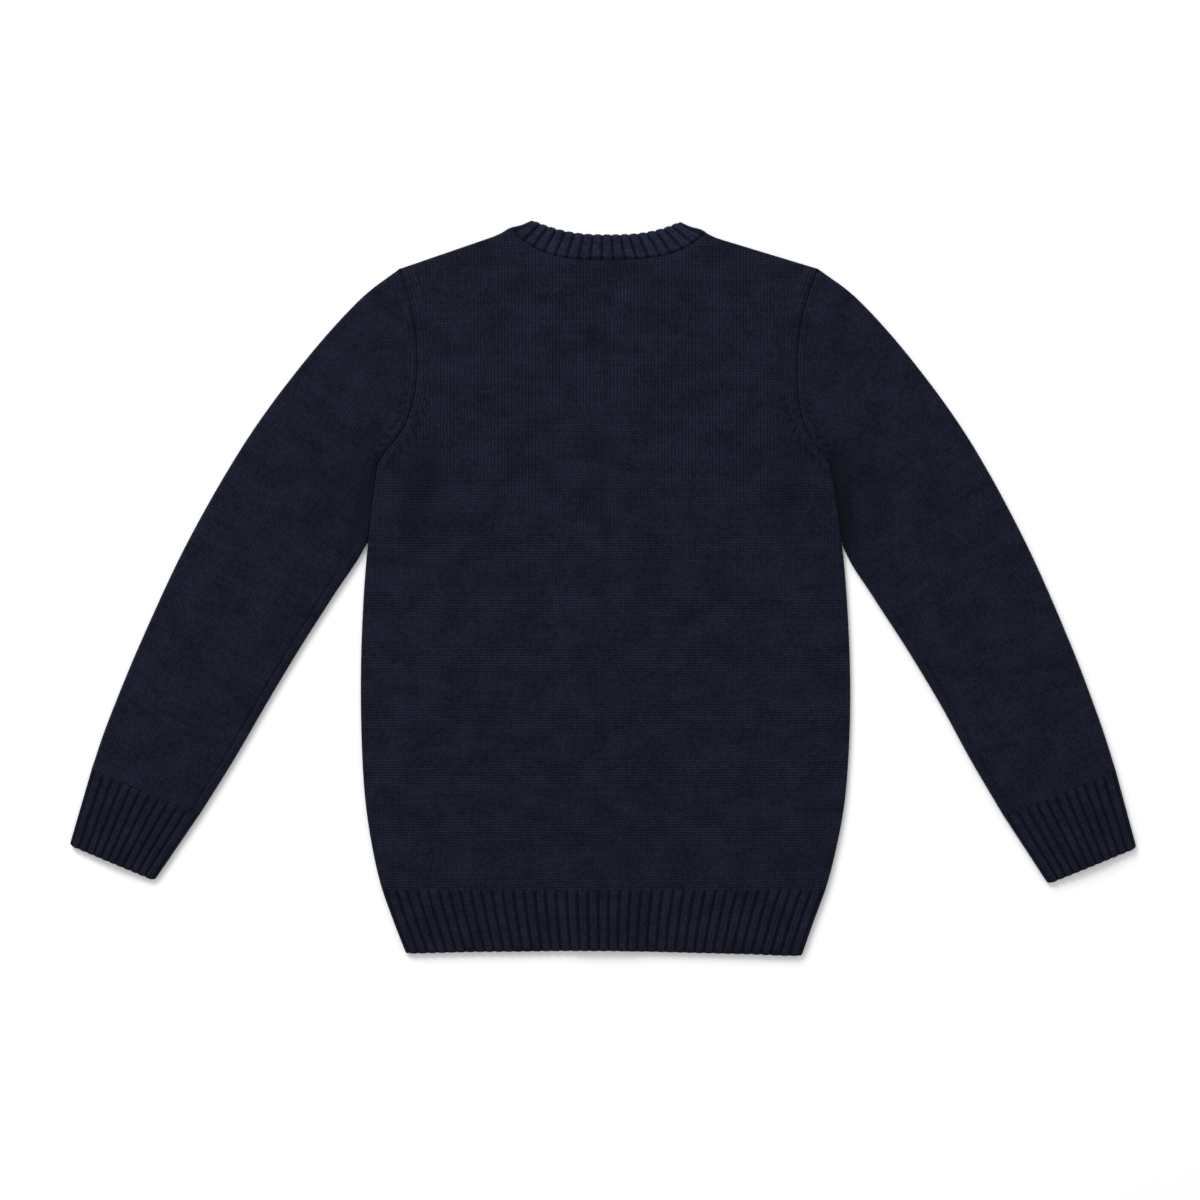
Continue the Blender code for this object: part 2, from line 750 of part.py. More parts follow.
def hem_paths(start_side, end_across):
    """Rows of a hem strip from its seam down to its edge.

    The strip starts on a side edge and ends at end_across, or on the other side.
    """
    seam_up = HEM_DEPTH - SEAM_GAP / 2
    paths = []
    for up in (seam_up, HEM_DEPTH * HEM_BEND_SHARE, 0.0):
        row = smooth_table(SIDE, up)
        start = edge_place(start_side, row)
        end = Vector((end_across, up)) if end_across else edge_place(-start_side, row)
        path = [start.lerp(end, step / HEM_STRETCHES) for step in range(HEM_STRETCHES + 1)]
        for point in path:
            point.y += hem_edge_up(point.x) * (1.0 - up / seam_up)
        paths.append(path)
    return paths


def make_hems():
    """The hem's rib: one strip under the back and one under each front."""
    material = plain_material("hem_back_rib", NAVY_RIB)
    ribbed_strip("hem_back", hem_paths(-1, None), HEM_RIBS, (True, True), "upper", material)
    for side, word in ((-1, "left"), (1, "right")):
        name = "hem_front_" + word
        paths = hem_paths(side, side * (HALF_LAP + SEAM_GAP / 2))
        material = plain_material(name + "_rib", NAVY_RIB)
        ribbed_strip(name, paths, FRONT_HEM_RIBS, (True, False), "lower " + word, material)


def make_neckband():
    """The band's stretch round the back neck, with its ribs across it."""
    seam = [point for point in back_top_path()
            if NECK_LEFT[0] - SEAM_GAP < point.x < NECK_RIGHT[0] + SEAM_GAP]
    seam = offset_path(seam, SEAM_GAP)
    free = []
    for point in seam:
        end_in = NECK_LEFT[0] if point.x < 0 else NECK_RIGHT[0]
        end_out = NECKBAND_TOP_LEFT if point.x < 0 else NECKBAND_TOP_RIGHT
        across = end_out[0] * min(point.x / end_in, 1.0)
        up = hollow_curve(across, NECKBAND_TOP_LEFT, NECKBAND_TOP_RIGHT,
                          NECKBAND_LOW_UP, NECKBAND_CURVE)
        free.append(Vector((across, up)))
    middle = [a.lerp(b, 0.5) for a, b in zip(seam, free)]
    material = plain_material("neckband_back_rib", NAVY_RIB)
    ribbed_strip("neckband_back", [seam, middle, free], NECKBAND_RIBS, (True, True),
                 "upper", material)


def make_band(side, name, layer):
    """A front band: ribs across a strip from the hem, up the front and the V."""
    edge = [Vector((side * HALF_LAP, hem_edge_up(HALF_LAP)))] + front_edge(side)
    tip = Vector(NECKBAND_TOP_LEFT if side < 0 else NECKBAND_TOP_RIGHT)
    seam = []
    free = []
    for point in edge:
        slope = v_edge(side, point.y)[1]
        facing = Vector((-side, slope)).normalized()
        seam.append(point + facing * SEAM_GAP / 2)
        free.append(point + facing * BAND_WIDTH)
    to_tip = tip - free[-1]
    for index, point in enumerate(edge):
        near = 1.0 - (edge[-1] - point).length / NECK_TURN_RUN
        free[index] += to_tip * ease(near)
    ribs = round(path_length(edge) / BAND_RIB_PITCH)
    material = plain_material(name + "_rib", NAVY_RIB)
    ribbed_strip(name, [seam, free], ribs, (False, True), layer, material)


# -------------------------------------------------------------------- buttons

def turned_button():
    """A dished button, face down, turned from a profile and drilled four times."""
    profile = (
        (0.0, BUTTON_THICKNESS),
        (BUTTON_RADIUS - BUTTON_BEVEL, BUTTON_THICKNESS),
        (BUTTON_RADIUS, BUTTON_THICKNESS / 2),
        (BUTTON_RADIUS - BUTTON_BEVEL, 0.0),
        (BUTTON_RADIUS - BUTTON_BEVEL - BUTTON_LIP, BUTTON_DISH),
        (0.0, BUTTON_DISH),
    )
    mesh = bmesh.new()
    points = [mesh.verts.new((radius, 0.0, height)) for radius, height in profile]
    for start, end in zip(points, points[1:]):
        mesh.edges.new((start, end))
    data = bpy.data.meshes.new("button_blank")
    mesh.to_mesh(data)
    mesh.free()
    blank = bpy.data.objects.new("button_blank", data)
    MODEL.objects.link(blank)
    screw = blank.modifiers.new("turn", "SCREW")
    screw.steps = BUTTON_SIDES
    screw.render_steps = BUTTON_SIDES
    screw.use_merge_vertices = True
    screw.merge_threshold = 0.00001
    drills = []
    for across, along in ((-1, -1), (-1, 1), (1, -1), (1, 1)):
        bpy.ops.mesh.primitive_cylinder_add(
            vertices=BUTTON_HOLE_SIDES,
            radius=BUTTON_HOLE_RADIUS,
            depth=BUTTON_THICKNESS * 3,
            location=(across * BUTTON_HOLE_SPREAD, along * BUTTON_HOLE_SPREAD, 0.0),
        )
        drill = bpy.context.active_object
        drill.name = "button_drill"
        drill.hide_render = True
        drill.display_type = "WIRE"
        for group in list(drill.users_collection):
            group.objects.unlink(drill)
        CUTTERS.objects.link(drill)
        hole = blank.modifiers.new("hole", "BOOLEAN")
        hole.operation = "DIFFERENCE"
        hole.solver = "EXACT"
        hole.object = drill
        drills.append(drill)
    graph = bpy.context.evaluated_depsgraph_get()
    turned = bpy.data.meshes.new_from_object(blank.evaluated_get(graph))
    for item in drills + [blank]:
        bpy.data.objects.remove(item, do_unlink=True)
    turned.name = "button"
    turned.shade_smooth()
    turned.set_sharp_from_angle(angle=SHARP_ANGLE)
    return turned


def make_buttons():
    """Buttons down the middle of the lap, faces to the surface it lies on."""
    mesh = turned_button()
    mesh.materials.clear()
    mesh.materials.append(plain_material("button_horn", DARK_HORN, HORN_ROUGHNESS))
    for index in range(BUTTON_COUNT):
        share = index / (BUTTON_COUNT - 1)
        up = BUTTON_TOP_UP + (BUTTON_BOTTOM_UP - BUTTON_TOP_UP) * share
        button = bpy.data.objects.new("button_%d" % (index + 1), mesh)
        button.location = (CENTRE_BACK_X, HEM_EDGE_Y + up, 0.0)
        MODEL.objects.link(button)


make_back()
make_hems()
make_neckband()
for side, word in ((-1, "left"), (1, "right")):
    lower = "lower " + word
    make_front(side, "front_" + word, lower)
    make_sleeve(side, "sleeve_" + word, lower)
    make_cuff(side, "cuff_" + word, lower)
    make_band(side, "band_" + word, lower)
make_buttons()
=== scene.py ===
"""V-neck cardigan in navy cotton knit, laid flat on its front on a white table.

The plan is drawn in metres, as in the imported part: `across` from the centre back
and `up` from the hem's edge. PLAN_SHIFT moves it to the part's own frame.
"""

import math

import bpy
import numpy as np
from mathutils import Matrix, Vector


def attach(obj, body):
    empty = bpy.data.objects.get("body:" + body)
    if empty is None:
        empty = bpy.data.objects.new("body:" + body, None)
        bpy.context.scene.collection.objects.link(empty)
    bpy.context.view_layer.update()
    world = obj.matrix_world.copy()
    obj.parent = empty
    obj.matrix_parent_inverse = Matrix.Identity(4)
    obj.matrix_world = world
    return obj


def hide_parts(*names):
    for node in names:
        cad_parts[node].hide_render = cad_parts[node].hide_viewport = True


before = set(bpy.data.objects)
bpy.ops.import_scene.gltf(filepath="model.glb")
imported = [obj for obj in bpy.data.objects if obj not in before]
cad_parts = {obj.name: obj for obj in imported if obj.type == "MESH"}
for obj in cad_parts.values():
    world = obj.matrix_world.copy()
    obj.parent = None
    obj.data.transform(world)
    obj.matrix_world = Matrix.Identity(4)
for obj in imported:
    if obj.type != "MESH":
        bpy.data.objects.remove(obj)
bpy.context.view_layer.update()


# ---------------------------------------------------------------- table and light
# A white table top under a large soft lamp at the upper left. The camera looks
# straight down through a long lens and takes in 1.2 m of the table each way.

FIELD = 1.2
LENS_MM = 120.0
SENSOR_MM = 36.0
VIEW_CENTRE = (-0.0028, -0.0112)
TABLE_SIZE = 14.0
TABLE_HEIGHT = -0.0002      # a hair below the cloth, so that the two faces never coincide
TABLE_PAINT = {"Base Color": (0.93, 0.93, 0.935, 1.0), "Roughness": 0.7, "Specular IOR Level": 0.2}
LAMP_PLACE = (-2.0, 4.1, 3.1)
LAMP_SIZE = 2.7
LAMP_WATTS = 272.0
SKY_STRENGTH = 0.73


def place_object(name, data):
    """A new object at the origin."""
    made = bpy.data.objects.new(name, data)
    bpy.context.collection.objects.link(made)
    return made


def mesh_object(name, points, edges=(), faces=()):
    """A new object with a mesh of its own."""
    mesh = bpy.data.meshes.new(name)
    mesh.from_pydata(points, edges, faces)
    return place_object(name, mesh)


def new_material(name, finish):
    """A material and its shader, with the shader's own inputs set by name."""
    material = bpy.data.materials.new(name)
    material.use_nodes = True
    shader = material.node_tree.nodes["Principled BSDF"]
    for key, value in finish.items():
        shader.inputs[key].default_value = value
    return material, shader


def make_table():
    half = TABLE_SIZE / 2
    corners = [(x * half, y * half, TABLE_HEIGHT) for x, y in ((-1, -1), (1, -1), (1, 1), (-1, 1))]
    top = mesh_object("table_top", corners, faces=[(0, 1, 2, 3)])
    top.data.materials.append(new_material("white_table", TABLE_PAINT)[0])


def make_light():
    sky = bpy.data.worlds.new("white_room")
    sky.use_nodes = True
    room = sky.node_tree.nodes["Background"].inputs
    room["Color"].default_value = (1.0, 1.0, 1.0, 1.0)
    room["Strength"].default_value = SKY_STRENGTH
    bpy.context.scene.world = sky
    lamp = bpy.data.lights.new("soft_lamp", "AREA")
    lamp.size = LAMP_SIZE
    lamp.energy = LAMP_WATTS
    placed = place_object("soft_lamp", lamp)
    placed.location = LAMP_PLACE
    placed.rotation_euler = (-Vector(LAMP_PLACE)).to_track_quat("-Z", "Y").to_euler()


def make_camera():
    lens = bpy.data.cameras.new("camera")
    lens.lens = LENS_MM
    lens.sensor_width = SENSOR_MM
    camera = place_object("camera", lens)
    camera.location = (*VIEW_CENTRE, FIELD * LENS_MM / SENSOR_MM)
    bpy.context.scene.camera = camera


bpy.context.scene.view_settings.view_transform = "Standard"
make_table()
make_light()
make_camera()


# ------------------------------------------------------------------------- back
# The back is one panel in plain stockinette. Its sides turn down and meet the
# fronts half way, its armholes are linked to the sleeves, and a few columns of
# stitches run along each armhole, with fashioning marks inside them.

HANDS = ((-1, "left"), (1, "right"))        # as the photo shows them, and as they are worn
PLAN_SHIFT = (0.0027, -0.36625)
CLOTH = 0.0018              # thickness of the shells
FOLD = 0.0033               # radius in which the cloth turns over at an edge
SEAM_GAP = 0.0003
RUN_ON_GAP = 0.0001         # between a panel and the rib that is knitted on to it
SEAM_DIP = 0.0014           # how far the cloth rolls down into a seam
SEAM_ROLL = 0.0024
SEAM_RIDGE = 0.0006         # the seam's own thickness, felt beside it
SEAM_RIDGE_AT = 1.6         # in rolls from the seam
SEAM_RIDGE_WIDTH = 0.7
CROWN = 0.0016
CROWN_RUN = 0.045
NECK_SAG = 0.0036
NECK_SAG_RUN = 0.040
NECK_BLEND = 0.010          # rounds the sag off where its two slopes meet
NECK_PROUD = 0.0028         # how far a shoulder stands out where the thicker band ends
NECK_PROUD_AT = {-1: (-0.0945, 0.7245), 1: (0.0955, 0.7220)}
NECK_PROUD_WAY = (0.37, 0.93)
NECK_PROUD_RUN = 0.009
CENTRE_FLAT = 0.016
CENTRE_RUN = 0.030
BACK_RIDGE = 0.0016
LAP_TOP_UP = 0.535
LAP_TOP_RUN = 0.065
HALF_LAP = 0.013
LAP_LIFT = 0.0025
LAP_RUN = 0.030
BAND_WIDTH = 0.026
BUTTON_LIFT = 0.0025
BUTTON_LIFT_RUN = 0.034
BUTTON_LIFT_TOP_UP = 0.500
BUTTON_LIFT_TOP_RUN = 0.060
DROOP_RUN = 0.024           # height over which the cloth drops below the last button
HEM_DEPTH = 0.066
UNDERARM_UP = 0.492
NECK = {-1: np.array((-0.0935, 0.7245)), 1: np.array((0.1000, 0.7200))}
NECK_LOW_UP = 0.6950
NECK_CURVE = 3.4
NECK_POINTS = 44
TOP_FOLLOW = 1.5            # how soon above the underarm the rows take the top edge's shape
WALE = 0.0034               # width of a column of stitches
COURSE = 0.0026             # height of a row of stitches
MESH_STEP = 0.0075
LINE_POINTS = 120           # points on the drawn lines of the armhole and of the panel's side,
SIDE_POINTS = 124           # of the side fold,
SLEEVE_POINTS = 36          # and of a sleeve's edges
FAR = 9.0
BODY_ARM_COLUMNS = 4.0      # columns of stitches that follow the armhole
COLUMNS_PER_RIB = 3

# Height, and the distance of the left and the right edge from the centre.
SIDE = (
    (0.000, 0.1986, 0.1962), (0.035, 0.2122, 0.2085), (0.066, 0.2232, 0.2199), (0.095, 0.2305, 0.2278),
    (0.135, 0.2376, 0.2362), (0.175, 0.2418, 0.2412), (0.235, 0.2443, 0.2443), (0.295, 0.2443, 0.2441),
    (0.355, 0.2419, 0.2412), (0.400, 0.2385, 0.2374), (0.455, 0.2325, 0.2305),
    (UNDERARM_UP, 0.2275, 0.2240),
)
ARMHOLE = (
    (UNDERARM_UP, 0.2275, 0.2240), (0.508, 0.2155, 0.2110), (0.524, 0.2035, 0.2010),
    (0.544, 0.1945, 0.1945), (0.567, 0.1895, 0.1918), (0.591, 0.1877, 0.1915), (0.616, 0.1887, 0.1930),
    (0.640, 0.1920, 0.1970), (0.662, 0.1975, 0.2035), (0.686, 0.2055, 0.2120),
)
SHOULDER_UP, _, SHOULDER_RIGHT = ARMHOLE[-1]

# A sleeve's outer edge, across and up, and its inner edge, at stations from the
# armhole, which is 0, to the cuff's seam.
SLEEVE = {
    -1: (
        (0.2055, 0.686, 0.2275, 0.492), (0.2455, 0.655, 0.2325, 0.455), (0.2995, 0.595, 0.2392, 0.411),
        (0.3585, 0.515, 0.2720, 0.359), (0.4165, 0.415, 0.3065, 0.305), (0.4635, 0.315, 0.3395, 0.250),
        (0.4965, 0.235, 0.3715, 0.195), (0.5135, 0.186, 0.4060, 0.140),
    ),
    1: (
        (0.2120, 0.686, 0.2240, 0.492), (0.2525, 0.655, 0.2305, 0.455), (0.3060, 0.595, 0.2390, 0.405),
        (0.3635, 0.515, 0.2675, 0.358), (0.4185, 0.415, 0.3025, 0.304), (0.4630, 0.315, 0.3355, 0.249),
        (0.4935, 0.235, 0.3655, 0.194), (0.5100, 0.184, 0.3980, 0.139),
    ),
}
CUFF_SEAM = 7
CUFF_END = {-1: (0.5355, 0.1100, 0.4508, 0.0746), 1: (0.5306, 0.1073, 0.4423, 0.0712)}

# Soft troughs, and ridges where the depth is negative, pressed into the cloth:
# across, up, turn in degrees, length, half width and depth.
BACK_CREASES = (
    (-0.186, 0.460, 92, 0.170, 0.030, 0.0024),
    (0.186, 0.468, 86, 0.150, 0.028, 0.0018),
    (-0.210, 0.440, 84, 0.110, 0.013, -0.0007),
    (0.210, 0.452, 96, 0.090, 0.012, -0.0007),
    (-0.135, 0.694, 20, 0.090, 0.022, 0.0014),
    (0.132, 0.692, 162, 0.100, 0.020, 0.0011),
    (0.060, 0.560, 70, 0.160, 0.045, 0.0004),
    (-0.085, 0.505, 118, 0.120, 0.040, 0.0004),
    (0.110, 0.300, 12, 0.140, 0.030, 0.0004),
    (-0.120, 0.215, 168, 0.170, 0.034, 0.0005),
    (0.010, 0.110, 4, 0.210, 0.026, 0.0004),
    (0.004, 0.682, 1, 0.130, 0.018, 0.0013),
)
CREASE_WAVER = 0.12         # in half widths
CREASE_SWINGS = 9.0
CREASE_FALL = 1.6
PAINTED_SHADE_STRENGTH = 0.42         # painted shade: how much darker the colour is painted in the deepest troughs
# trough depth that gets the full painted shade, and the range of it; below 0 the ridges are painted lighter
PAINTED_SHADE_DEPTH = 0.0025
PAINTED_SHADE_RANGE = (-0.3, 1.4)


def ease(value):
    """A smooth step from 0 at 0 to 1 at 1."""
    value = np.clip(value, 0.0, 1.0)
    return value * value * (3.0 - 2.0 * value)


def curve_through(rows, keys):
    """A table's columns at keys, on smooth curves; its first column is the key."""
    table = np.array(rows, dtype=float)
    keys = np.atleast_1d(np.asarray(keys, dtype=float))
    span = np.clip(np.searchsorted(table[:, 0], keys, side="right") - 1, 0, len(table) - 2)
    low = table[span]
    high = table[span + 1]
    before = table[np.maximum(span - 1, 0)]
    after = table[np.minimum(span + 2, len(table) - 1)]
    step = high[:, :1] - low[:, :1]
    t = (keys[:, None] - low[:, :1]) / step
    slope_low = (high - before) / (high[:, :1] - before[:, :1]) * step
    slope_high = (after - low) / (after[:, :1] - low[:, :1]) * step
    return (
        (2 * t ** 3 - 3 * t ** 2 + 1) * low
        + (t ** 3 - 2 * t ** 2 + t) * slope_low
        + (3 * t ** 2 - 2 * t ** 3) * high
        + (t ** 3 - t ** 2) * slope_high
    )


def body_edge(rows, side, ups):
    """Plan points of the body's edge; side is -1 for the left and 1 for the right."""
    found = curve_through(rows, ups)
    return np.column_stack((side * found[:, 1 if side < 0 else 2], found[:, 0]))


def lengths(path):
    """Distance along a path to each of its points."""
    steps = np.linalg.norm(np.diff(path, axis=0), axis=1)
    return np.concatenate(([0.0], np.cumsum(steps)))


def resample(path, distances):
    run = lengths(path)
    return np.column_stack([np.interp(distances, run, path[:, k]) for k in range(path.shape[1])])


EDGE_STEPS = FOLD * (1.0 - np.cos(np.linspace(0.0, math.pi / 2, 7)))


def spaced(length, step=MESH_STEP):
    """Distances along a stretch: close together at both ends and even between."""
    count = max(round((length - 2 * FOLD) / step), 2) + 1
    between = np.linspace(FOLD, length - FOLD, count)[1:-1]
    return np.concatenate((EDGE_STEPS, between, length - EDGE_STEPS[::-1]))


def armhole(side):
    """Armhole from the underarm to the shoulder point."""
    path = body_edge(ARMHOLE, side, np.linspace(UNDERARM_UP, SHOULDER_UP, LINE_POINTS))
    return resample(path, spaced(lengths(path)[-1]))


def sleeve_edge(side, stations):
    """Plan points of a sleeve's outer and inner edge at stations along it.

    Below the underarm the inner edge lies against the body's side.
    """
    rows = [(station, *row) for station, row in enumerate(SLEEVE[side])]
    outer, outer_up, inner, inner_up = curve_through(rows, stations).T[1:]
    beside = side * body_edge(SIDE, side, inner_up)[:, 0]
    beside = np.where((inner_up < UNDERARM_UP) & (inner_up > 0.0), beside, 0.0)
    inner = np.maximum(inner, beside)
    return np.column_stack((side * outer, outer_up)), np.column_stack((side * inner, inner_up))


def cuff_corners(side):
    corners = np.array(CUFF_END[side]) * (side, 1, side, 1)
    return corners[:2], corners[2:]


def sleeve_lines(side):
    """A sleeve's outer and inner edge, down to the cuff's end."""
    edges = sleeve_edge(side, np.linspace(0, CUFF_SEAM, SLEEVE_POINTS))
    return [np.vstack((line, corner)) for line, corner in zip(edges, cuff_corners(side))]


ARMHOLES = {side: armhole(side) for side, _ in HANDS}
SIDES = {side: body_edge(SIDE, side, np.linspace(0.0, UNDERARM_UP, SIDE_POINTS)) for side, _ in HANDS}
SHOULDERS = {side: np.array((ARMHOLES[side][-1], NECK[side])) for side, _ in HANDS}
SLEEVES = {side: sleeve_lines(side) for side, _ in HANDS}
OUTLINE = [line for side, _ in HANDS for line in (SIDES[side], SHOULDERS[side], *SLEEVES[side])]
BODY_FOLDS = [*SIDES.values(), *SHOULDERS.values(), SLEEVES[-1][0], SLEEVES[1][0]]


def nearest(points, paths):
    """How far plan points are from the nearest of some paths, and how far along it.

    The third value is 1 for points on the left of the path and -1 on its right.
    """
    best = np.full(points.shape[:-1], FAR)
    run = np.zeros(best.shape)
    hand = np.zeros(best.shape)
    for path in paths:
        for start, end, before in zip(path, path[1:], lengths(path)):
            step = end - start
            share = np.clip(((points - start) @ step) / (step @ step), 0.0, 1.0)
            offset = points - start - share[..., None] * step
            away = np.linalg.norm(offset, axis=-1)
            closer = away < best
            best = np.where(closer, away, best)
            run = np.where(closer, before + share * np.linalg.norm(step), run)
            hand = np.where(closer, np.sign(step[0] * offset[..., 1] - step[1] * offset[..., 0]), hand)
    return best, run, hand


def distance(points, paths):
    return nearest(points, paths)[0]


def inside_neck(points):
    """How far plan points lie inside the V of the front bands' free edges."""
    margins = []
    for side, _ in HANDS:
        down = np.array((side * HALF_LAP, UNDERARM_UP)) - NECK[side]
        down /= np.linalg.norm(down)
        normal = np.array((-side * abs(down[1]), abs(down[0])))
        margins.append((points - NECK[side]) @ normal - BAND_WIDTH)
    return -NECK_BLEND * np.logaddexp(-margins[0] / NECK_BLEND, -margins[1] / NECK_BLEND)


def pressed(points, creases):
    """Depth of the troughs at plan points; each fades towards its ends."""
    total = np.zeros(points.shape[:-1])
    for across, up, turn, length, half_width, depth in creases:
        turn = math.radians(turn)
        along_axis = np.array((math.cos(turn), math.sin(turn)))
        offset = points - np.array((across, up))
        along = offset @ along_axis
        aside = offset @ np.array((-along_axis[1], along_axis[0]))
        aside += CREASE_WAVER * half_width * np.sin(along / length * CREASE_SWINGS)
        fade = 1.0 - ease(np.abs(along) / (length / 2))
        total += depth * fade * np.exp(-(aside / half_width * CREASE_FALL) ** 2)
    return total


def painted_shade(points, creases):
    """Painted shade in the troughs at plan points, and painted light on the ridges, where the depth is
    negative.
    """
    return PAINTED_SHADE_STRENGTH * np.clip(pressed(points, creases) / PAINTED_SHADE_DEPTH, *PAINTED_SHADE_RANGE)


def centre_ridge(across, run):
    return 1.0 - ease((np.abs(across) - CENTRE_FLAT) / run)


def upper_lift(points):
    """How much the upper layer rises above the height of the folds."""
    across, up = points[..., 0], points[..., 1]
    lift = CROWN * ease(distance(points, OUTLINE) / CROWN_RUN)
    centre = centre_ridge(across, CENTRE_RUN)
    hem = np.where(np.abs(across) < SHOULDER_RIGHT, np.clip(1.0 - up / HEM_DEPTH, 0.0, 1.0), 0.0)
    lift *= 1.0 - (1.0 - centre) * hem ** 2
    lift += BACK_RIDGE * centre * ease(up / DROOP_RUN) * (1.0 - ease((up - LAP_TOP_UP) / LAP_TOP_RUN))
    return lift - NECK_SAG * ease(inside_neck(points) / NECK_SAG_RUN)


def lower_lift(points, right_side):
    """How much the buttons, and the left band on the right front, raise a front."""
    across, up = points[..., 0], points[..., 1]
    lift = BUTTON_LIFT * centre_ridge(across, BUTTON_LIFT_RUN) * ease(up / DROOP_RUN)
    lift = lift * (1.0 - ease((up - BUTTON_LIFT_TOP_UP) / BUTTON_LIFT_TOP_RUN))
    if right_side:
        lap = 1.0 - ease((across - HALF_LAP) / LAP_RUN)
        lift += LAP_LIFT * lap * (1.0 - ease((up - LAP_TOP_UP) / LAP_TOP_RUN))
    return lift


def neck_proud(points):
    """Plan offsets by the neck, where the shoulder stands out over the band's end."""
    offset = np.zeros(points.shape)
    for side, place in NECK_PROUD_AT.items():
        away = np.linalg.norm(points - np.array(place), axis=-1)
        size = NECK_PROUD * np.exp(-(away / NECK_PROUD_RUN) ** 2)
        offset += size[..., None] * np.array((side * NECK_PROUD_WAY[0], NECK_PROUD_WAY[1]))
    return offset


def laid(points, layer, folds, seams, creases, gap=SEAM_GAP / 2):
    """Lays plan points down as the cloth's outer face.

    layer is "upper", "lower left" or "lower right". The cloth turns over at the
    folds and rolls down into the seams.
    """
    near = np.clip(distance(points, folds) / FOLD, 0.0, 1.0)
    rise = np.sqrt(1.0 - (1.0 - near) ** 2)
    rolls = distance(points, seams) / SEAM_ROLL
    dip = SEAM_DIP * (1.0 - ease(rolls))
    dip = dip - SEAM_RIDGE * np.exp(-((rolls - SEAM_RIDGE_AT) / SEAM_RIDGE_WIDTH) ** 2)
    dip = dip + pressed(points, creases)
    reach = gap + (FOLD - gap) * rise
    if layer == "upper":
        height = FOLD + reach + (upper_lift(points) - dip) * rise
    else:
        height = FOLD - reach + (lower_lift(points, layer == "lower right") + np.maximum(dip, 0)) * rise
    return np.dstack((points + neck_proud(points) + np.array(PLAN_SHIFT), height))


def cloth_uv(points, folds):
    """Stitch coordinates of a flat panel: columns across and rows up it.

    Cloth that turns over at a fold counts at its full length.
    """
    from_fold = np.minimum(distance(points, folds), FOLD)
    hidden = FOLD * (math.pi / 2 - np.arccos(1.0 - from_fold / FOLD)) - from_fold
    spare = np.sign(points[..., 0]) * (FOLD * (math.pi / 2 - 1.0) - hidden)
    return np.dstack(((points[..., 0] + spare) / WALE, points[..., 1] / COURSE))


def armhole_map(points):
    """Stitch coordinates beside the armholes: columns from the seam, rows along it."""
    away, run, _ = nearest(points, ARMHOLES.values())
    return np.dstack((away / WALE, run / COURSE))


def cloth_object(name, points, maps, attributes, layer=""):
    """A sheet of quads on rows of points, with UV maps given per point.

    The sheet faces up as the upper layer and down as a lower one. With no layer it
    is a tube: its last column joins its first, and its maps have a column more.
    """
    rows, columns = points.shape[:2]
    index = np.arange(rows * columns).reshape(rows, columns)
    right = np.roll(index, -1, axis=1)
    cells = columns - 1 if layer else columns
    corners = [index[:-1, :cells], right[:-1, :cells], right[1:, :cells], index[1:, :cells]]
    quads = np.stack(corners, axis=-1).reshape(-1, 4)
    made = mesh_object(name, points.reshape(-1, 3).tolist(), faces=quads.tolist())
    mesh = made.data
    for map_name, values in maps.items():
        places = [values[:-1, :cells], values[:-1, 1:cells + 1], values[1:, 1:cells + 1],
                  values[1:, :cells]]
        uv_map = mesh.uv_layers.new(name=map_name)
        uv_map.data.foreach_set("uv", np.stack(places, axis=2).reshape(-1))
    for attribute_name, values in attributes.items():
        kind, key = ("FLOAT_VECTOR", "vector") if values.ndim == 3 else ("FLOAT", "value")
        attribute = mesh.attributes.new(attribute_name, kind, "POINT")
        attribute.data.foreach_set(key, np.ascontiguousarray(values, dtype=float).reshape(-1))
    heights = points[..., 2].reshape(-1)[quads].mean(axis=1)
    wanted = (1.0 if layer == "upper" else -1.0) if layer else heights - heights.mean()
    facing = np.array([face.normal.z for face in mesh.polygons])
    if (facing * wanted).sum() < 0:
        mesh.flip_normals()
    mesh.shade_smooth()
    return made


def settle(piece):
    """Keeps what its modifiers make of a piece as its plain mesh."""
    bpy.context.view_layer.update()
    made = bpy.data.meshes.new_from_object(
        piece.evaluated_get(bpy.context.evaluated_depsgraph_get()))
    piece.modifiers.clear()
    made.name = piece.name
    piece.data = made
    return made


def thicken(cloth, thickness=CLOTH):
    """Gives a sheet its thickness, inwards, and rests its underside on the table."""
    wall = cloth.modifiers.new("thickness", "SOLIDIFY")
    wall.thickness = thickness
    wall.offset = -1.0
    shell = settle(cloth)
    places = np.empty(len(shell.vertices) * 3)
    shell.vertices.foreach_get("co", places)
    places[2::3] = np.maximum(places[2::3], 0.0)
    shell.vertices.foreach_set("co", places)


class Wire:
    """An output in a node tree. Arithmetic on it adds Math nodes to that tree."""

    def __init__(self, socket):
        self.socket = socket
        self.tree = socket.id_data

    def of(self, output):
        """Another output of the same node, by name or number."""
        return Wire(self.socket.node.outputs[output])

    def __add__(self, other):
        return calc("ADD", self, other)

    def __radd__(self, other):
        return calc("ADD", other, self)

    def __sub__(self, other):
        return calc("SUBTRACT", self, other)

    def __rsub__(self, other):
        return calc("SUBTRACT", other, self)

    def __mul__(self, other):
        return calc("MULTIPLY", self, other)

    def __truediv__(self, other):
        return calc("DIVIDE", self, other)

    def __pow__(self, other):
        return calc("POWER", self, other)

    def __abs__(self):
        return calc("ABSOLUTE", self)

    def __lt__(self, other):
        return calc("LESS_THAN", self, other)

    def __gt__(self, other):
        return calc("GREATER_THAN", self, other)


def feed(node, links):
    """Sets a node's inputs, by name or number, or links them to wires."""
    for key, value in links.items():
        for one in value if isinstance(value, list) else [value]:
            if isinstance(one, Wire):
                one.tree.links.new(one.socket, node.inputs[key])
            else:
                node.inputs[key].default_value = one


def add_node(tree, kind, links=None, **settings):
    """Adds a node with its settings and its inputs, and gives its first output."""
    node = tree.nodes.new(kind)
    for key, value in settings.items():
        setattr(node, key, value)
    feed(node, links or {})
    return Wire(node.outputs[0]) if node.outputs else None


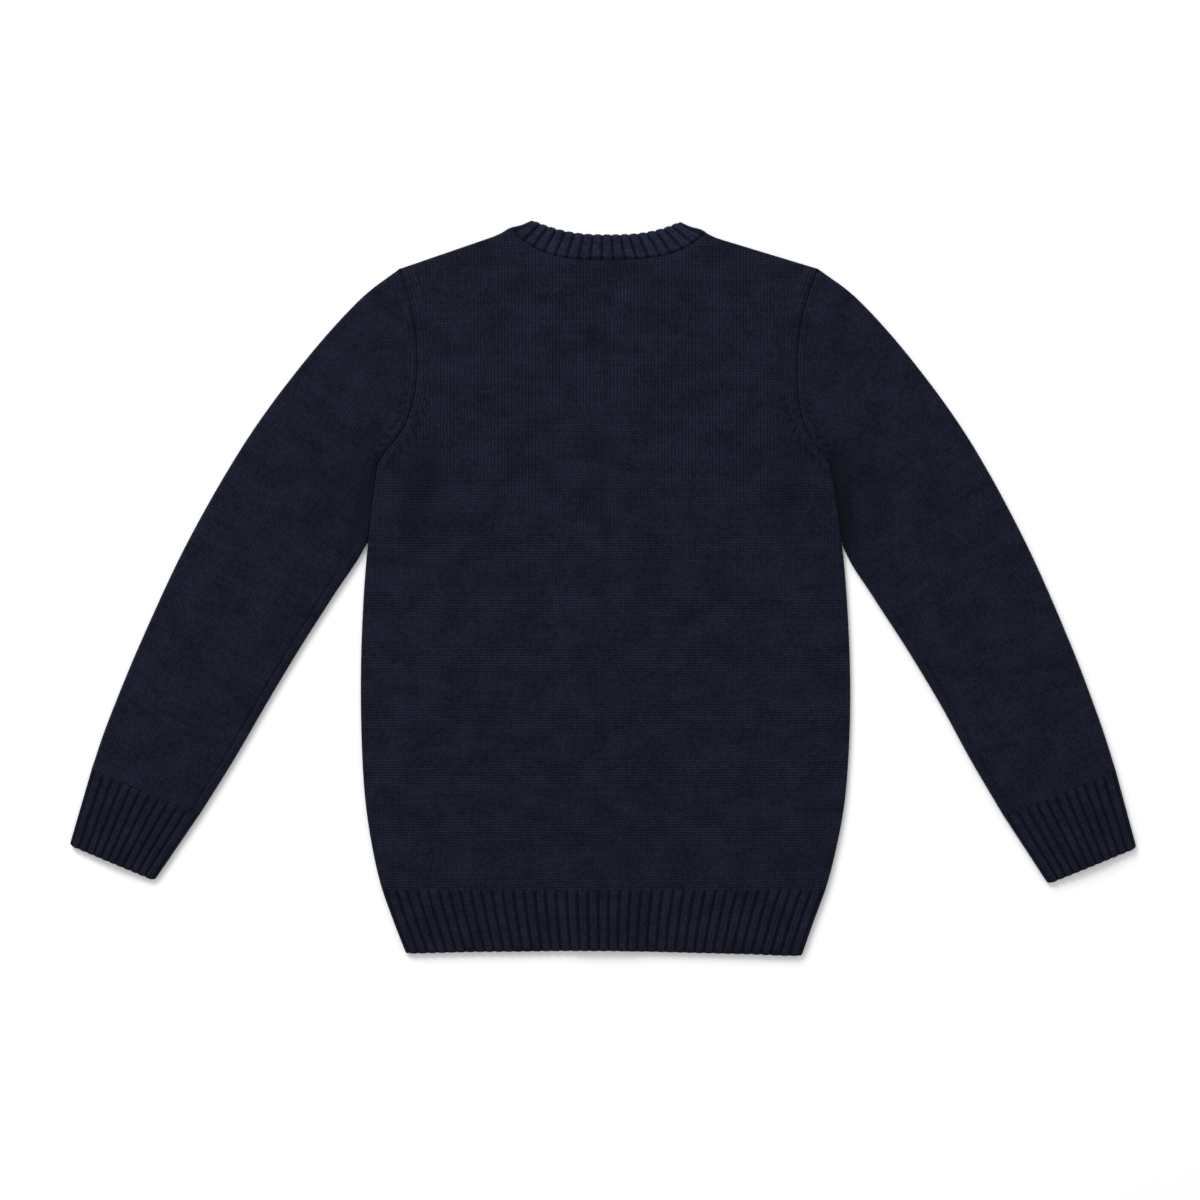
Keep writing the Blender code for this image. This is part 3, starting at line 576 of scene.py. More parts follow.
def calc(operation, *values):
    """One step of arithmetic, in the tree that its values come from."""
    tree = next(value.tree for value in values if isinstance(value, Wire))
    return add_node(tree, "ShaderNodeMath", dict(enumerate(values)), operation=operation)


def ranged(value, low, high, start, end, **settings):
    """A value that goes from start to end while another goes from low to high."""
    links = {0: value, 1: low, 2: high, 3: start, 4: end}
    return add_node(value.tree, "ShaderNodeMapRange", links, **settings)


def split(vector):
    """The first two parts of a vector."""
    first = add_node(vector.tree, "ShaderNodeSeparateXYZ", {0: vector})
    return first, first.of(1)


def noise(vector, scale, detail, **more):
    links = {"Vector": vector, "Scale": scale, "Detail": detail, **more}
    return add_node(vector.tree, "ShaderNodeTexNoise", links)


def two_tones(value, low, low_colour, high, high_colour):
    """A colour that goes from one to another while a value goes from low to high."""
    tones = add_node(value.tree, "ShaderNodeValToRGB", {0: value})
    stops = tones.socket.node.color_ramp.elements
    stops[0].position, stops[0].color = low, low_colour
    stops[1].position, stops[1].color = high, high_colour
    return tones


def new_tree(kind, name, takes, gives):
    """A node tree and what it is given, by name.

    takes and gives hold its sockets: a number is its default, and a word its kind.
    """
    tree = bpy.data.node_groups.new(name, kind)
    kinds = {int: "Int", float: "Float"}
    for way, sockets in (("INPUT", takes), ("OUTPUT", gives)):
        for label, value in sockets.items():
            kind = kinds.get(type(value), value)
            socket = tree.interface.new_socket(label, in_out=way, socket_type="NodeSocket%s" % kind)
            if type(value) in kinds:
                socket.default_value = value
    node = tree.nodes.new("NodeGroupInput")
    return tree, {socket.name: Wire(socket) for socket in node.outputs}


WAVER_SCALE = 0.55          # noise that bends the columns and rows, by the stitch
LEAN_SCALE = 0.028          # where the columns stand out, and where the rows do
LEAN_FROM, LEAN_TO = 0.38, 0.58
LEAN_ROWS, LEAN_COLUMNS = 0.35, 0.95
LEAN_LEAST = 0.12           # how little the columns may show
STREAK_SCALE = (0.07, 0.55, 1.0)
PATCH_SCALE = 0.10
STITCH_TONE = 0.18          # unevenness of colour: from stitch to stitch, in rows and in patches
ROW_TONE = 0.18
PATCH_TONE = 0.38
BASE_TONE = 0.13
BEAD_POWER = 2.2            # a stitch's roundness along its leg, and its height between two rows
LOOP_FLOOR = 0.35
LOOP_RELIEF = 0.34          # relief of each loop, and of the column or row that it stands in
ROPE_RELIEF = 0.52


def stitch_group():
    """Shader group: plain knit from stitch coordinates, as height and tone.

    Each stitch is a V of two legs. Its colour varies a little from stitch to
    stitch, from row to row, and in soft patches.
    """
    tree, given = new_tree("ShaderNodeTree", "knit_stitches",
                           {"Stitches": "Vector", "Slant": 0.0, "Waver": 0.0, "Columns": 0.0},
                           {"Height": "Float", "Tone": "Float"})

    def vector(operation, links):
        return add_node(tree, "ShaderNodeVectorMath", links, operation=operation)

    stitches = given["Stitches"]
    centred = vector("SUBTRACT", {0: noise(stitches, WAVER_SCALE, 2.0).of("Color"), 1: (0.5, 0.5, 0.5)})
    waver = vector("SCALE", {0: centred, "Scale": given["Waver"]})
    column, row = split(vector("ADD", {0: stitches, 1: waver}))
    side = abs(calc("FRACT", column) - 0.5)
    climbed = row - side * given["Slant"]
    leg = calc("SQRT", 1.02 - (abs(side - 0.25) * 4.0) ** 2.0)
    bead = 1.0 - abs(calc("FRACT", climbed) * 2.0 - 1.0) ** BEAD_POWER
    loop = leg * (LOOP_FLOOR + bead * (1.0 - LOOP_FLOOR))
    leaning = ranged(noise(stitches, LEAN_SCALE, 1.0), LEAN_FROM, LEAN_TO, LEAN_ROWS, LEAN_COLUMNS)
    upright = calc("MINIMUM", 1.0, calc("MAXIMUM", LEAN_LEAST, leaning + given["Columns"]))
    ropes = (1.0 - (side * 2.0) ** 2.0) * upright
    lines = bead * (1.30 - upright)
    height = loop * LOOP_RELIEF + (ropes + lines) * ROPE_RELIEF
    cell = add_node(tree, "ShaderNodeCombineXYZ", {
        0: calc("FLOOR", column * 2.0), 1: calc("FLOOR", climbed)})
    each = add_node(tree, "ShaderNodeTexWhiteNoise", {"Vector": cell}, noise_dimensions="2D").of("Value")
    drawn_out = add_node(tree, "ShaderNodeMapping", {"Vector": stitches, "Scale": STREAK_SCALE})
    patch = noise(stitches, PATCH_SCALE, 2.0, Roughness=0.55)
    tone = calc("MULTIPLY_ADD", each, STITCH_TONE, BASE_TONE) + (
        noise(drawn_out, 1.0, 3.0) * ROW_TONE + patch * PATCH_TONE)
    add_node(tree, "NodeGroupOutput", {0: height, 1: tone})
    return tree


STITCHES = stitch_group()
# The darkest navy is the colour that painted shade mixes in: between the stitches, in the rib's grooves, in
# the troughs, in the fashioning marks and where the linking yarn lies low.
NAVY_PAINTED_SHADE = (0.0002, 0.0004, 0.0022, 1.0)
NAVY = (0.0026, 0.0036, 0.0118, 1.0)
NAVY_PALE = (0.0094, 0.0112, 0.0268, 1.0)
COTTON = {
    "Roughness": 0.82, "Specular IOR Level": 0.10, "Sheen Weight": 0.04, "Sheen Roughness": 0.45,
    "Sheen Tint": (0.55, 0.60, 0.85, 1.0),
}
TONE_FROM, TONE_TO = 0.38, 0.62             # tones that are plain navy and pale navy
HEIGHT_DEEP, HEIGHT_LIT = 0.22, 0.74        # heights that are in full shade and in none
BUMP_STRENGTH = 0.8
RIDGE_TO, GROOVE_FROM = 0.30, 0.46          # in ribs from the middle of a ridge
GROOVE_SHADE = 0.85         # how much darker the bottom of a rib's groove is
RIB_COLUMNS_SHOW = -0.15    # how much more the columns show than the rows
PANEL_COLUMNS_SHOW = -0.35
BODY_COLUMNS_SHOW = (-0.55, 0.35)
ROWS_SHOW_TO = 130.0        # low on the body its rows show most, and higher its columns
COLUMNS_SHOW_FROM = 215.0
ARM_COLUMNS_SHOW = 1.5
ARM_COLUMNS_START = 0.45    # share of the columns beside the armhole that start at the underarm,
ARM_COLUMNS_RUN = 34.0      # and rows until they are all there
ARM_COLUMNS_FROM = 0.4      # first row from the underarm that has them
MARK_OUT = 0.6              # fashioning marks: columns beyond those, half width,
MARK_HALF_WIDTH = 0.9
MARK_EVERY = 4.0            # rows from one to the next, share of those that a mark takes,
MARK_SHARE = 0.30
MARK_TOP = 30.0             # row at which they end, and how dark and deep they are
MARK_SHADE = 0.55
MARK_SINK = 0.7


def knit_material(name, slant=0.62, waver=0.22, relief=0.0009, arm_columns=0.0,
                  body_rows=False, ribbed=False, brightness=1.0):
    """Matt mercerised cotton knit: stitches in relief, with painted shade between them."""
    cloth, shader = new_material(name, COTTON)
    tree = cloth.node_tree
    place = add_node(tree, "ShaderNodeUVMap", uv_map="stitches")
    marks = 0.0
    columns = RIB_COLUMNS_SHOW if ribbed else PANEL_COLUMNS_SHOW
    if arm_columns:
        edge = add_node(tree, "ShaderNodeUVMap", uv_map="armhole")
        from_seam, along = split(edge)
        limit = ranged(along, 0.0, ARM_COLUMNS_RUN, ARM_COLUMNS_START * arm_columns, arm_columns)
        past_end = along > ARM_COLUMNS_FROM
        near = past_end * (from_seam < limit)
        if body_rows:
            columns = ranged(split(place)[1], ROWS_SHOW_TO, COLUMNS_SHOW_FROM, *BODY_COLUMNS_SHOW)
        columns = columns + near * ARM_COLUMNS_SHOW
        place = add_node(tree, "ShaderNodeMix", {"Factor": near, 4: place, 5: edge},
                         data_type="VECTOR").of(1)
        beside = abs(from_seam - (limit + MARK_OUT)) < MARK_HALF_WIDTH
        every = calc("FRACT", (along + from_seam) / MARK_EVERY) < MARK_SHARE
        marks = beside * every * (past_end * (along < MARK_TOP))
    knit = add_node(tree, "ShaderNodeGroup", {
        "Stitches": place, "Slant": slant, "Waver": waver, "Columns": columns}, node_tree=STITCHES)
    height, tone = knit.of("Height"), knit.of("Tone")
    # brightness scales both navy tones: painted light on the neckband and bands, a little darker on the
    # cuffs and hem
    navy, pale = [(*(brightness * part for part in colour[:3]), 1.0) for colour in (NAVY, NAVY_PALE)]
    shade = ranged(height, HEIGHT_DEEP, HEIGHT_LIT, 0.6 if ribbed else 1.0, 0.0) + marks * MARK_SHADE
    # painted shade from the mesh: darker in the troughs and, on the sleeves, along the body's side; lighter
    # on the ridges
    shade = shade + add_node(tree, "ShaderNodeAttribute", attribute_name="painted_shade").of("Fac")
    if ribbed:
        from_ridge = abs(calc("FRACT", (split(place)[0] - 0.5) / COLUMNS_PER_RIB) - 0.5)
        shade = shade + ranged(from_ridge, RIDGE_TO, GROOVE_FROM, 0.0, GROOVE_SHADE,
                               interpolation_type="SMOOTHSTEP")
    colour = add_node(tree, "ShaderNodeMix", {
        "Factor": shade, 6: two_tones(tone, TONE_FROM, navy, TONE_TO, pale), 7: NAVY_PAINTED_SHADE},
        data_type="RGBA", clamp_factor=True).of(2)
    raised = add_node(tree, "ShaderNodeBump", {
        "Distance": relief, "Strength": BUMP_STRENGTH, "Height": height - marks * MARK_SINK})
    feed(shader, {"Base Color": colour, "Normal": raised})
    return cloth


def side_levels(side):
    """Edge points of a body panel from the hem's seam to the shoulder point."""
    seam_up = HEM_DEPTH + RUN_ON_GAP / 2
    line = body_edge(SIDE, side, np.linspace(seam_up, UNDERARM_UP, LINE_POINTS))
    down = resample(line, spaced(lengths(line)[-1]))
    return np.vstack((down[:-1], ARMHOLES[side]))


def curved_up(across, ends, low_up, power):
    """Height of an edge that rises from the centre to its left and right end."""
    end, end_up = np.where((across < 0)[:, None], ends[-1], ends[1]).T
    return low_up + (end_up - low_up) * np.abs(across / end) ** power


def back_top():
    """Left shoulder, neck curve and right shoulder: the back's top edge."""
    left, right = ARMHOLES[-1][-1], ARMHOLES[1][-1]
    curve = (1.0 - np.cos(np.linspace(0.0, math.pi, NECK_POINTS))) / 2
    neck = NECK[-1][0] + (NECK[1][0] - NECK[-1][0]) * curve
    neck = np.column_stack((neck, curved_up(neck, NECK, NECK_LOW_UP, NECK_CURVE)))
    over_left = resample(np.array((left, NECK[-1])), spaced(np.linalg.norm(NECK[-1] - left)))
    over_right = resample(np.array((NECK[1], right)), spaced(np.linalg.norm(right - NECK[1])))
    return over_left, neck, over_right


def follow_top(ups):
    """How much rows at heights take the top edge's shape, from the underarm up."""
    return np.clip((ups - UNDERARM_UP) / (ups[-1] - UNDERARM_UP), 0.0, 1.0) ** TOP_FOLLOW


def back_plan(top):
    """Rows of plan points from the left edge to the right one, up to the top edge."""
    start, end = side_levels(-1), side_levels(1)
    share = (top[:, 0] - top[0, 0]) / (top[-1, 0] - top[0, 0])
    plan = start[:, None] + (end - start)[:, None] * share[None, :, None]
    chord = top[0, 1] + (top[-1, 1] - top[0, 1]) * share
    plan[..., 1] += follow_top(start[:, 1])[:, None] * (top[:, 1] - chord)[None, :]
    for back_step, distance_down in enumerate(EDGE_STEPS):
        plan[-1 - back_step, 1:-1] = top[1:-1] - np.array((0.0, distance_down))
    plan[-1] = top
    return plan


def make_panel(name, points, layer, seams, creases):
    panel = cloth_object(
        name,
        laid(points, layer, BODY_FOLDS, seams, creases),
        {"stitches": cloth_uv(points, BODY_FOLDS), "armhole": armhole_map(points)},
        # painted shade in the troughs
        {"painted_shade": painted_shade(points, creases)},
        layer,
    )
    thicken(panel)
    return panel


def dress(piece, material, slot, *nodes):
    """Gives a finished piece its material, hangs it from the root and hides the imported parts it stands
    for; slot is not used.
    """
    piece.data.materials.clear()
    piece.data.materials.append(material)
    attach(piece, "root")
    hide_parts(*nodes)


over_left, NECK_SEAM, over_right = back_top()
back_points = back_plan(np.vstack((over_left[:-1], NECK_SEAM, over_right[1:])))
BODY_KNIT = knit_material("navy_stockinette_body", arm_columns=BODY_ARM_COLUMNS, body_rows=True)
back = make_panel("back_panel", back_points, "upper", [*ARMHOLES.values(), NECK_SEAM], BACK_CREASES)
dress(back, BODY_KNIT, "navy_knit", "back")


# ----------------------------------------------------------------------- fronts
# Two panels in the same knit, hidden under the back. Each ends at the band, which
# is linked on along the centre and up the V. The left one laps over the right.

FRONT_WIDTH = 0.225
V_BEND_RUN = 0.035
V_POINTS = 60
FRONT_CREASES = (
    (-0.150, 0.430, 70, 0.160, 0.026, 0.0010),
    (0.155, 0.445, 112, 0.140, 0.026, 0.0010),
    (-0.120, 0.240, 15, 0.130, 0.024, 0.0007),
    (0.130, 0.200, 160, 0.150, 0.028, 0.0008),
    (-0.130, 0.600, 100, 0.100, 0.022, 0.0006),
    (0.140, 0.610, 84, 0.110, 0.024, 0.0006),
)


def v_edge(side, ups):
    """Line of the front's edge at heights, and its slope outwards there."""
    neck = NECK[side]
    slope = (abs(neck[0]) - HALF_LAP) / (neck[1] - UNDERARM_UP)
    above = ups - UNDERARM_UP
    turned = np.clip((above + V_BEND_RUN) / (2 * V_BEND_RUN), 0.0, 1.0)
    rise = np.where(turned < 1.0, turned ** 2 * V_BEND_RUN, np.maximum(above, 0.0))
    return np.column_stack((side * (HALF_LAP + slope * rise), ups)), slope * turned


def front_plan(side):
    start = side_levels(side)
    neck = NECK[side]
    ups = start[:, 1] + follow_top(start[:, 1]) * (neck[1] - start[-1, 1])
    end = v_edge(side, ups)[0] + np.array((side * SEAM_GAP / 2, 0.0))
    down = end[-len(EDGE_STEPS) - 1] - neck
    down /= np.linalg.norm(down)
    end[-len(EDGE_STEPS):] = neck + down * EDGE_STEPS[::-1, None]
    width = np.linalg.norm(end - start, axis=1)
    steps = np.repeat(spaced(FRONT_WIDTH)[None] / FRONT_WIDTH, len(width), axis=0)
    for column, step in enumerate(EDGE_STEPS):
        steps[:, column] = step / width
        steps[:, -1 - column] = 1.0 - step / width
    return start[:, None] + (end - start)[:, None] * steps[..., None]


for side, word in HANDS:
    line, _ = v_edge(side, np.linspace(0.0, NECK[side][1], V_POINTS))
    front = make_panel("front_" + word + "_panel", front_plan(side), "lower " + word,
                       [*ARMHOLES.values(), line], FRONT_CREASES)
    dress(front, BODY_KNIT, "navy_knit", "front_" + word)


# --------------------------------------------------------------------- sleeves
# Each sleeve is one panel folded along its outer edge into a flat tube and
# linked under the arm. That seam shows on the back, just inside the inner edge.

SLEEVE_ARM_COLUMNS = 2.6    # columns of stitches that follow the armhole
MIDDLE_POINTS = 40
CAP_REACH = 0.35            # how far the middle line runs on, up through the cap
STRAIGHTENS = (3.0, 0.30)   # stations over which the armhole's curve dies out
UNDERARM_FROM = (0.45, 0.50)
SEAM_INSET = 0.0088
SEAM_GROOVE = 0.0011
SEAM_HALF_WIDTH = 0.0008
SEAM_SIDE_RIDGE = 0.6       # the ridge outside the seam: its share of the groove,
SEAM_SIDE_OUT = 0.0026      # how far out it lies and how wide it is
SEAM_SIDE_WIDTH = 0.0014
CREVICE_SHADE = {-1: 0.18, 1: 0.50}     # along the body's side, where little light gets in
CREVICE_RUN = 0.0045
SLEEVE_CREASES = {
    -1: (
        (-0.2405, 0.448, 80, 0.180, 0.014, 0.0026),
        (-0.264, 0.470, 62, 0.140, 0.024, 0.0016),
        (-0.300, 0.500, 48, 0.150, 0.026, 0.0005),
        (-0.345, 0.420, 28, 0.110, 0.020, 0.0006),
        (-0.420, 0.300, 60, 0.130, 0.022, 0.0005),
        (-0.232, 0.600, 82, 0.120, 0.018, 0.0004),
    ),
    1: (
        (0.2395, 0.446, 100, 0.190, 0.017, 0.0034),
        (0.262, 0.468, 116, 0.150, 0.024, 0.0018),
        (0.305, 0.490, 134, 0.140, 0.026, 0.0005),
        (0.352, 0.400, 150, 0.120, 0.020, 0.0006),
        (0.425, 0.280, 118, 0.120, 0.022, 0.0005),
        (0.238, 0.610, 98, 0.110, 0.018, 0.0004),
    ),
}


def ring_distances(length):
    """Distances across a sleeve, close together at its folds and at its seam."""
    near = np.array((0.0, 0.0001, 0.0005, 0.0011, 0.0019, 0.0028, 0.0040, 0.0054))
    seam = SEAM_INSET + SEAM_HALF_WIDTH * np.array((-2.4, -1.2, -0.6, 0.0, 0.6, 1.2, 2.4))
    start = np.concatenate((near, (0.0075, 0.0105, 0.0140)))
    end = np.concatenate((near, seam, (0.0140,)))
    between = np.linspace(start[-1], length - end[-1], 22)[1:-1]
    return np.concatenate((start, between, length - end[::-1]))


def sleeve_stations():
    near = np.array((0.0, 0.004, 0.012, 0.025, 0.045, 0.07, 0.10, 0.14, 0.19, 0.25, 0.33, 0.42))
    last = CUFF_SEAM - np.array((0.10, 0.05, 0.025, 0.01, 0.0))
    return np.concatenate((near, np.linspace(0.55, CUFF_SEAM - 0.2, 50), last))


def sleeve_plan(side, stations):
    """Plan points of a sleeve's rings, from the outer to the inner edge."""
    hole = ARMHOLES[side][::-1]
    share = lengths(hole) / lengths(hole)[-1]
    bulge = hole - hole[0] - (hole[-1] - hole[0]) * share[:, None]
    reach = STRAIGHTENS[0] + (STRAIGHTENS[1] - STRAIGHTENS[0]) * ease(
        (share - UNDERARM_FROM[0]) / UNDERARM_FROM[1])
    away = np.array((side, 0.0)) * SEAM_GAP
    plan = []
    for station, outer, inner in zip(stations, *sleeve_edge(side, stations)):
        left = np.clip(1.0 - station / reach, 0.0, 1.0) ** 2
        ring = outer + (inner - outer) * share[:, None] + bulge * left[:, None]
        ring[1:-1] += away * max(1.0 - station, 0.0)
        plan.append(resample(ring, ring_distances(lengths(ring)[-1])))
    return np.array(plan)


def unit(vectors):
    return vectors / np.maximum(np.linalg.norm(vectors, axis=-1, keepdims=True), 1e-9)


def tube(top, under):
    """Joins the upper and the lower half of rings of points into closed rings.

    The rings start at the inner edge, run over the top to the outer edge and
    back underneath.
    """
    return np.concatenate((top[:, ::-1], under[:, 1:-1]), axis=1)


def tube_map(values):
    """Stitch coordinates of a flat tube from those of its upper half, all round."""
    return np.concatenate((values[:, ::-1], values[:, 1:]), axis=1)


def laid_tube(points, word, folds, seams, creases, inner_edge, inset, ridge):
    """Lays a folded tube down, with the underarm seam along its inner edge."""
    top, under = [laid(points, layer, folds, seams, creases, gap=0.0)
                  for layer in ("upper", "lower " + word)]
    away = distance(points, [inner_edge]) - inset
    groove = SEAM_GROOVE * np.exp(-(away / SEAM_HALF_WIDTH) ** 2)
    top[..., 2] -= groove - SEAM_GROOVE * ridge * np.exp(
        -((away + SEAM_SIDE_OUT) / SEAM_SIDE_WIDTH) ** 2)
    return tube(top, under)


def sleeve_uv(points, side):
    """Stitch coordinates of a sleeve: rows square to its middle line, cap included."""
    outer, inner = sleeve_edge(side, np.linspace(2.0, CUFF_SEAM + 0.5, MIDDLE_POINTS))
    middle = (outer + inner) / 2
    up_the_cap = middle[0] + unit(middle[0] - middle[1]) * CAP_REACH
    away, run, hand = nearest(points, [np.vstack((up_the_cap, middle))])
    return np.dstack((hand * away / WALE, -run / COURSE))


SLEEVE_KNIT = knit_material("navy_stockinette_sleeve", arm_columns=SLEEVE_ARM_COLUMNS)
for side, word in HANDS:
    points = sleeve_plan(side, sleeve_stations())
    folds = [*SLEEVES[side], SHOULDERS[side]]
    creases = SLEEVE_CREASES[side]
    from_body = distance(points, [SIDES[side]])
    # painted shade: in the troughs, and along the body's side
    shade = painted_shade(points, creases) + CREVICE_SHADE[side] * np.exp(-(from_body / CREVICE_RUN) ** 2)
    sleeve = cloth_object(
        "sleeve_" + word + "_tube",
        laid_tube(points, word, folds, [ARMHOLES[side]], creases, SLEEVES[side][1], SEAM_INSET,
                  SEAM_SIDE_RIDGE),
        {"stitches": tube_map(sleeve_uv(points, side)), "armhole": tube_map(armhole_map(points))},
        {"painted_shade": tube(shade, shade)},
    )
    thicken(sleeve)
    dress(sleeve, SLEEVE_KNIT, "navy_knit", "sleeve_" + word)


# ------------------------------------------------------------------------ cuffs
# The cuffs are knitted on to the sleeves in a rib of two columns out and one in.
# They narrow towards the wrist, and the underarm seam runs down their inner side.

RIB_DEPTH = 0.0016
RIB_CLOTH = 0.0014
RIB_RIDGE = 0.40            # share of half a rib that its ridge takes
RIB_FLOOR = 0.92
RIB_CLEFT = 0.0002          # cleft between a ridge's two columns of stitches
RIB_START = 0.0055          # run over which a groove deepens from the panel
RIB_AT_SEAM = 0.15          # and its share of the full depth there
CLEFT_WIDTH = 0.2
PURL_BUMP = 0.0010
PURL_BUMP_AT = 0.0030
PURL_BUMP_RUN = 0.0022
SCALLOP = 0.0003            # how much further out a ridge's end lies than a groove's
SCALLOP_OUT = 0.35          # share of that by which the ridge's end is pushed out
SCALLOP_RUN = 0.006
RIB_ROW_STEP = 0.0045
STEPS_PER_RIB = 10
CUFF_DEPTH = 0.075
CUFF_RIBS = 12
CUFF_SEAM_INSET = 0.0055
CUFF_CORNER = 0.0036        # radius of the cuff's two corners


def finished(tree, geometry, yarn):
    """Ends a geometry tree: plain mesh, in its yarn."""
    plain = add_node(tree, "GeometryNodeRealizeInstances", {0: geometry})
    return add_node(tree, "GeometryNodeSetMaterial", {"Geometry": plain, "Material": yarn})


def rib_tree():
    """Geometry tree: presses grooves into a sheet and scallops its free edge.

    The sheet's points carry "rib", the count of ribs, "from_seam" and "from_free",
    distances in metres, and "outward", the direction of the free edge.
    """
    tree, given = new_tree("GeometryNodeTree", "knitted_ribs", {
        "Sheet": "Geometry", "Depth": RIB_DEPTH, "Ridge": RIB_RIDGE, "Floor": RIB_FLOOR,
        "Cleft": RIB_CLEFT, "Start": RIB_START, "Purl bump": PURL_BUMP, "Scallop": SCALLOP,
        "Scallop run": SCALLOP_RUN, "Yarn": "Material"}, {"Sheet": "Geometry"})

    def carried(name, kind="FLOAT"):
        return add_node(tree, "GeometryNodeInputNamedAttribute", {0: name}, data_type=kind)

    def step(value, low, high, start=0.0, end=1.0):
        return ranged(value, low, high, start, end, interpolation_type="SMOOTHSTEP")

    def vector(operation, links):
        return add_node(tree, "ShaderNodeVectorMath", links, operation=operation)

    away = abs(calc("FRACT", carried("rib")) - 0.5) * 2.0
    groove = step(away, given["Ridge"], given["Floor"])
    cleft = step(away, 0.0, CLEFT_WIDTH, 1.0, 0.0)
    from_seam = carried("from_seam")
    deep = step(from_seam, 0.0, given["Start"], RIB_AT_SEAM, 1.0)
    bump = step(abs(from_seam - PURL_BUMP_AT), 0.0, PURL_BUMP_RUN, 1.0, 0.0)
    down = groove * deep * given["Depth"] + cleft * given["Cleft"]
    up = groove * bump * given["Purl bump"]
    along_normal = vector("SCALE", {0: add_node(tree, "GeometryNodeInputNormal"), "Scale": up - down})
    near_free = step(carried("from_free"), 0.0, given["Scallop run"], 1.0, 0.0)
    push = near_free * (SCALLOP_OUT - groove) * given["Scallop"]
    along_edge = vector("SCALE", {0: carried("outward", "FLOAT_VECTOR"), "Scale": push})
    ribbed = add_node(tree, "GeometryNodeSetPosition", {
        "Geometry": given["Sheet"], "Offset": vector("ADD", {0: along_normal, 1: along_edge})})
    add_node(tree, "NodeGroupOutput", {0: finished(tree, ribbed, given["Yarn"])})
    return tree


def run_tree(piece, tree, **values):
    """Runs a geometry tree on a piece with its inputs set, and keeps the plain mesh."""
    maker = piece.modifiers.new(tree.name, "NODES")
    maker.node_group = tree
    for item in tree.interface.items_tree:
        key = item.name.replace(" ", "_").lower()
        if item.in_out == "INPUT" and key in values:
            maker[item.identifier] = values[key]
    settle(piece).shade_smooth()


def rounding(from_corner, radius):
    """How far a free edge is drawn in beside a rounded corner."""
    near = np.clip(1.0 - from_corner / radius, 0.0, 1.0)
    return radius * (1.0 - np.sqrt(1.0 - near ** 2))


def cloth_places(width, ribs, folds):
    """Distances across a strip at even steps of its cloth, which turns down at folds."""
    turn = FOLD * math.pi / 2
    spare = turn - FOLD
    cloth = width + spare * (folds[0] + folds[1])
    run = np.linspace(0.0, cloth, ribs * STEPS_PER_RIB + 1)
    places = run - spare * folds[0]
    if folds[0]:
        places = np.where(run < turn, FOLD * (1.0 - np.cos(run / FOLD)), places)
    if folds[1]:
        left = np.minimum(cloth - run, turn)
        places = np.where(left < turn, width - FOLD * (1.0 - np.cos(left / FOLD)), places)
    return places


def rib_attributes(seam, free, rows, ribs_at):
    """What the rib tree reads: rib counts, distances from both edges and outward."""
    depth = np.linalg.norm(free - seam, axis=-1)
    outward = np.column_stack((unit(free - seam), np.zeros(len(seam))))
    count = len(rows)
    return {
        "rib": np.repeat(ribs_at[None], count, axis=0),
        "from_seam": rows[:, None] * depth[None],
        "from_free": (1.0 - rows)[:, None] * depth[None],
        "outward": np.repeat(outward[None], count, axis=0),
    }


def rib_map(ribs_at, rows, depth):
    columns = np.repeat((ribs_at * COLUMNS_PER_RIB + 0.5)[None], len(rows), axis=0)
    return np.dstack((columns, np.repeat((rows * depth / COURSE)[:, None], len(ribs_at), axis=1)))


def knit_ribs(piece, knit, node, **values):
    """Finishes a smooth strip or tube as ribbing."""
    run_tree(piece, RIBS, yarn=knit, **values)
    thicken(piece, RIB_CLOTH)
    dress(piece, knit, "navy_rib", node)


def cuff_half(side):
    """Seam and free edge of one half of a cuff, from its outer to its inner side."""
    outer, inner = [edge[0] for edge in sleeve_edge(side, (CUFF_SEAM,))]
    end_outer, end_inner = cuff_corners(side)
    start = outer + unit(end_outer - outer) * RUN_ON_GAP
    stop = inner + unit(end_inner - inner) * RUN_ON_GAP
    width = np.linalg.norm(stop - start)
    share = cloth_places(width, CUFF_RIBS, (1, 1)) / width
    seam = start + (stop - start) * share[:, None]
    free = end_outer + (end_inner - end_outer) * share[:, None]
    from_corner = np.minimum(share, 1.0 - share) * np.linalg.norm(end_inner - end_outer)
    return seam, free - unit(free - seam) * rounding(from_corner, CUFF_CORNER)[:, None]


RIBS = rib_tree()
RIB_KNIT = knit_material("navy_rib", slant=0.55, waver=0.12, relief=0.0005, ribbed=True, brightness=0.98)
for side, word in HANDS:
    seam, free = cuff_half(side)
    rows = spaced(CUFF_DEPTH, RIB_ROW_STEP) / CUFF_DEPTH
    points = seam + (free - seam) * rows[:, None, None]
    counts = np.linspace(0.5, CUFF_RIBS + 0.5, len(seam))
    around = np.concatenate((counts[::-1], 1.0 - counts[1:]))
    carried = {name: tube(value, value)
               for name, value in rib_attributes(seam, free, rows, counts).items()}
    carried["rib"] = np.repeat(around[None, :-1], len(rows), axis=0)
    lines = SLEEVES[side]
    cuff = cloth_object(
        "cuff_" + word + "_rib",
        laid_tube(points, word, lines, [free], (), lines[1], CUFF_SEAM_INSET, 0.0),
        {"stitches": rib_map(around, rows, CUFF_DEPTH)},
        carried,
    )
    knit_ribs(cuff, RIB_KNIT, "cuff_" + word)


# -------------------------------------------------------------------------- hem
# The hem is knitted on to the back and the fronts in the same rib. It draws the
# body in, and its edge arches up a little at the centre.

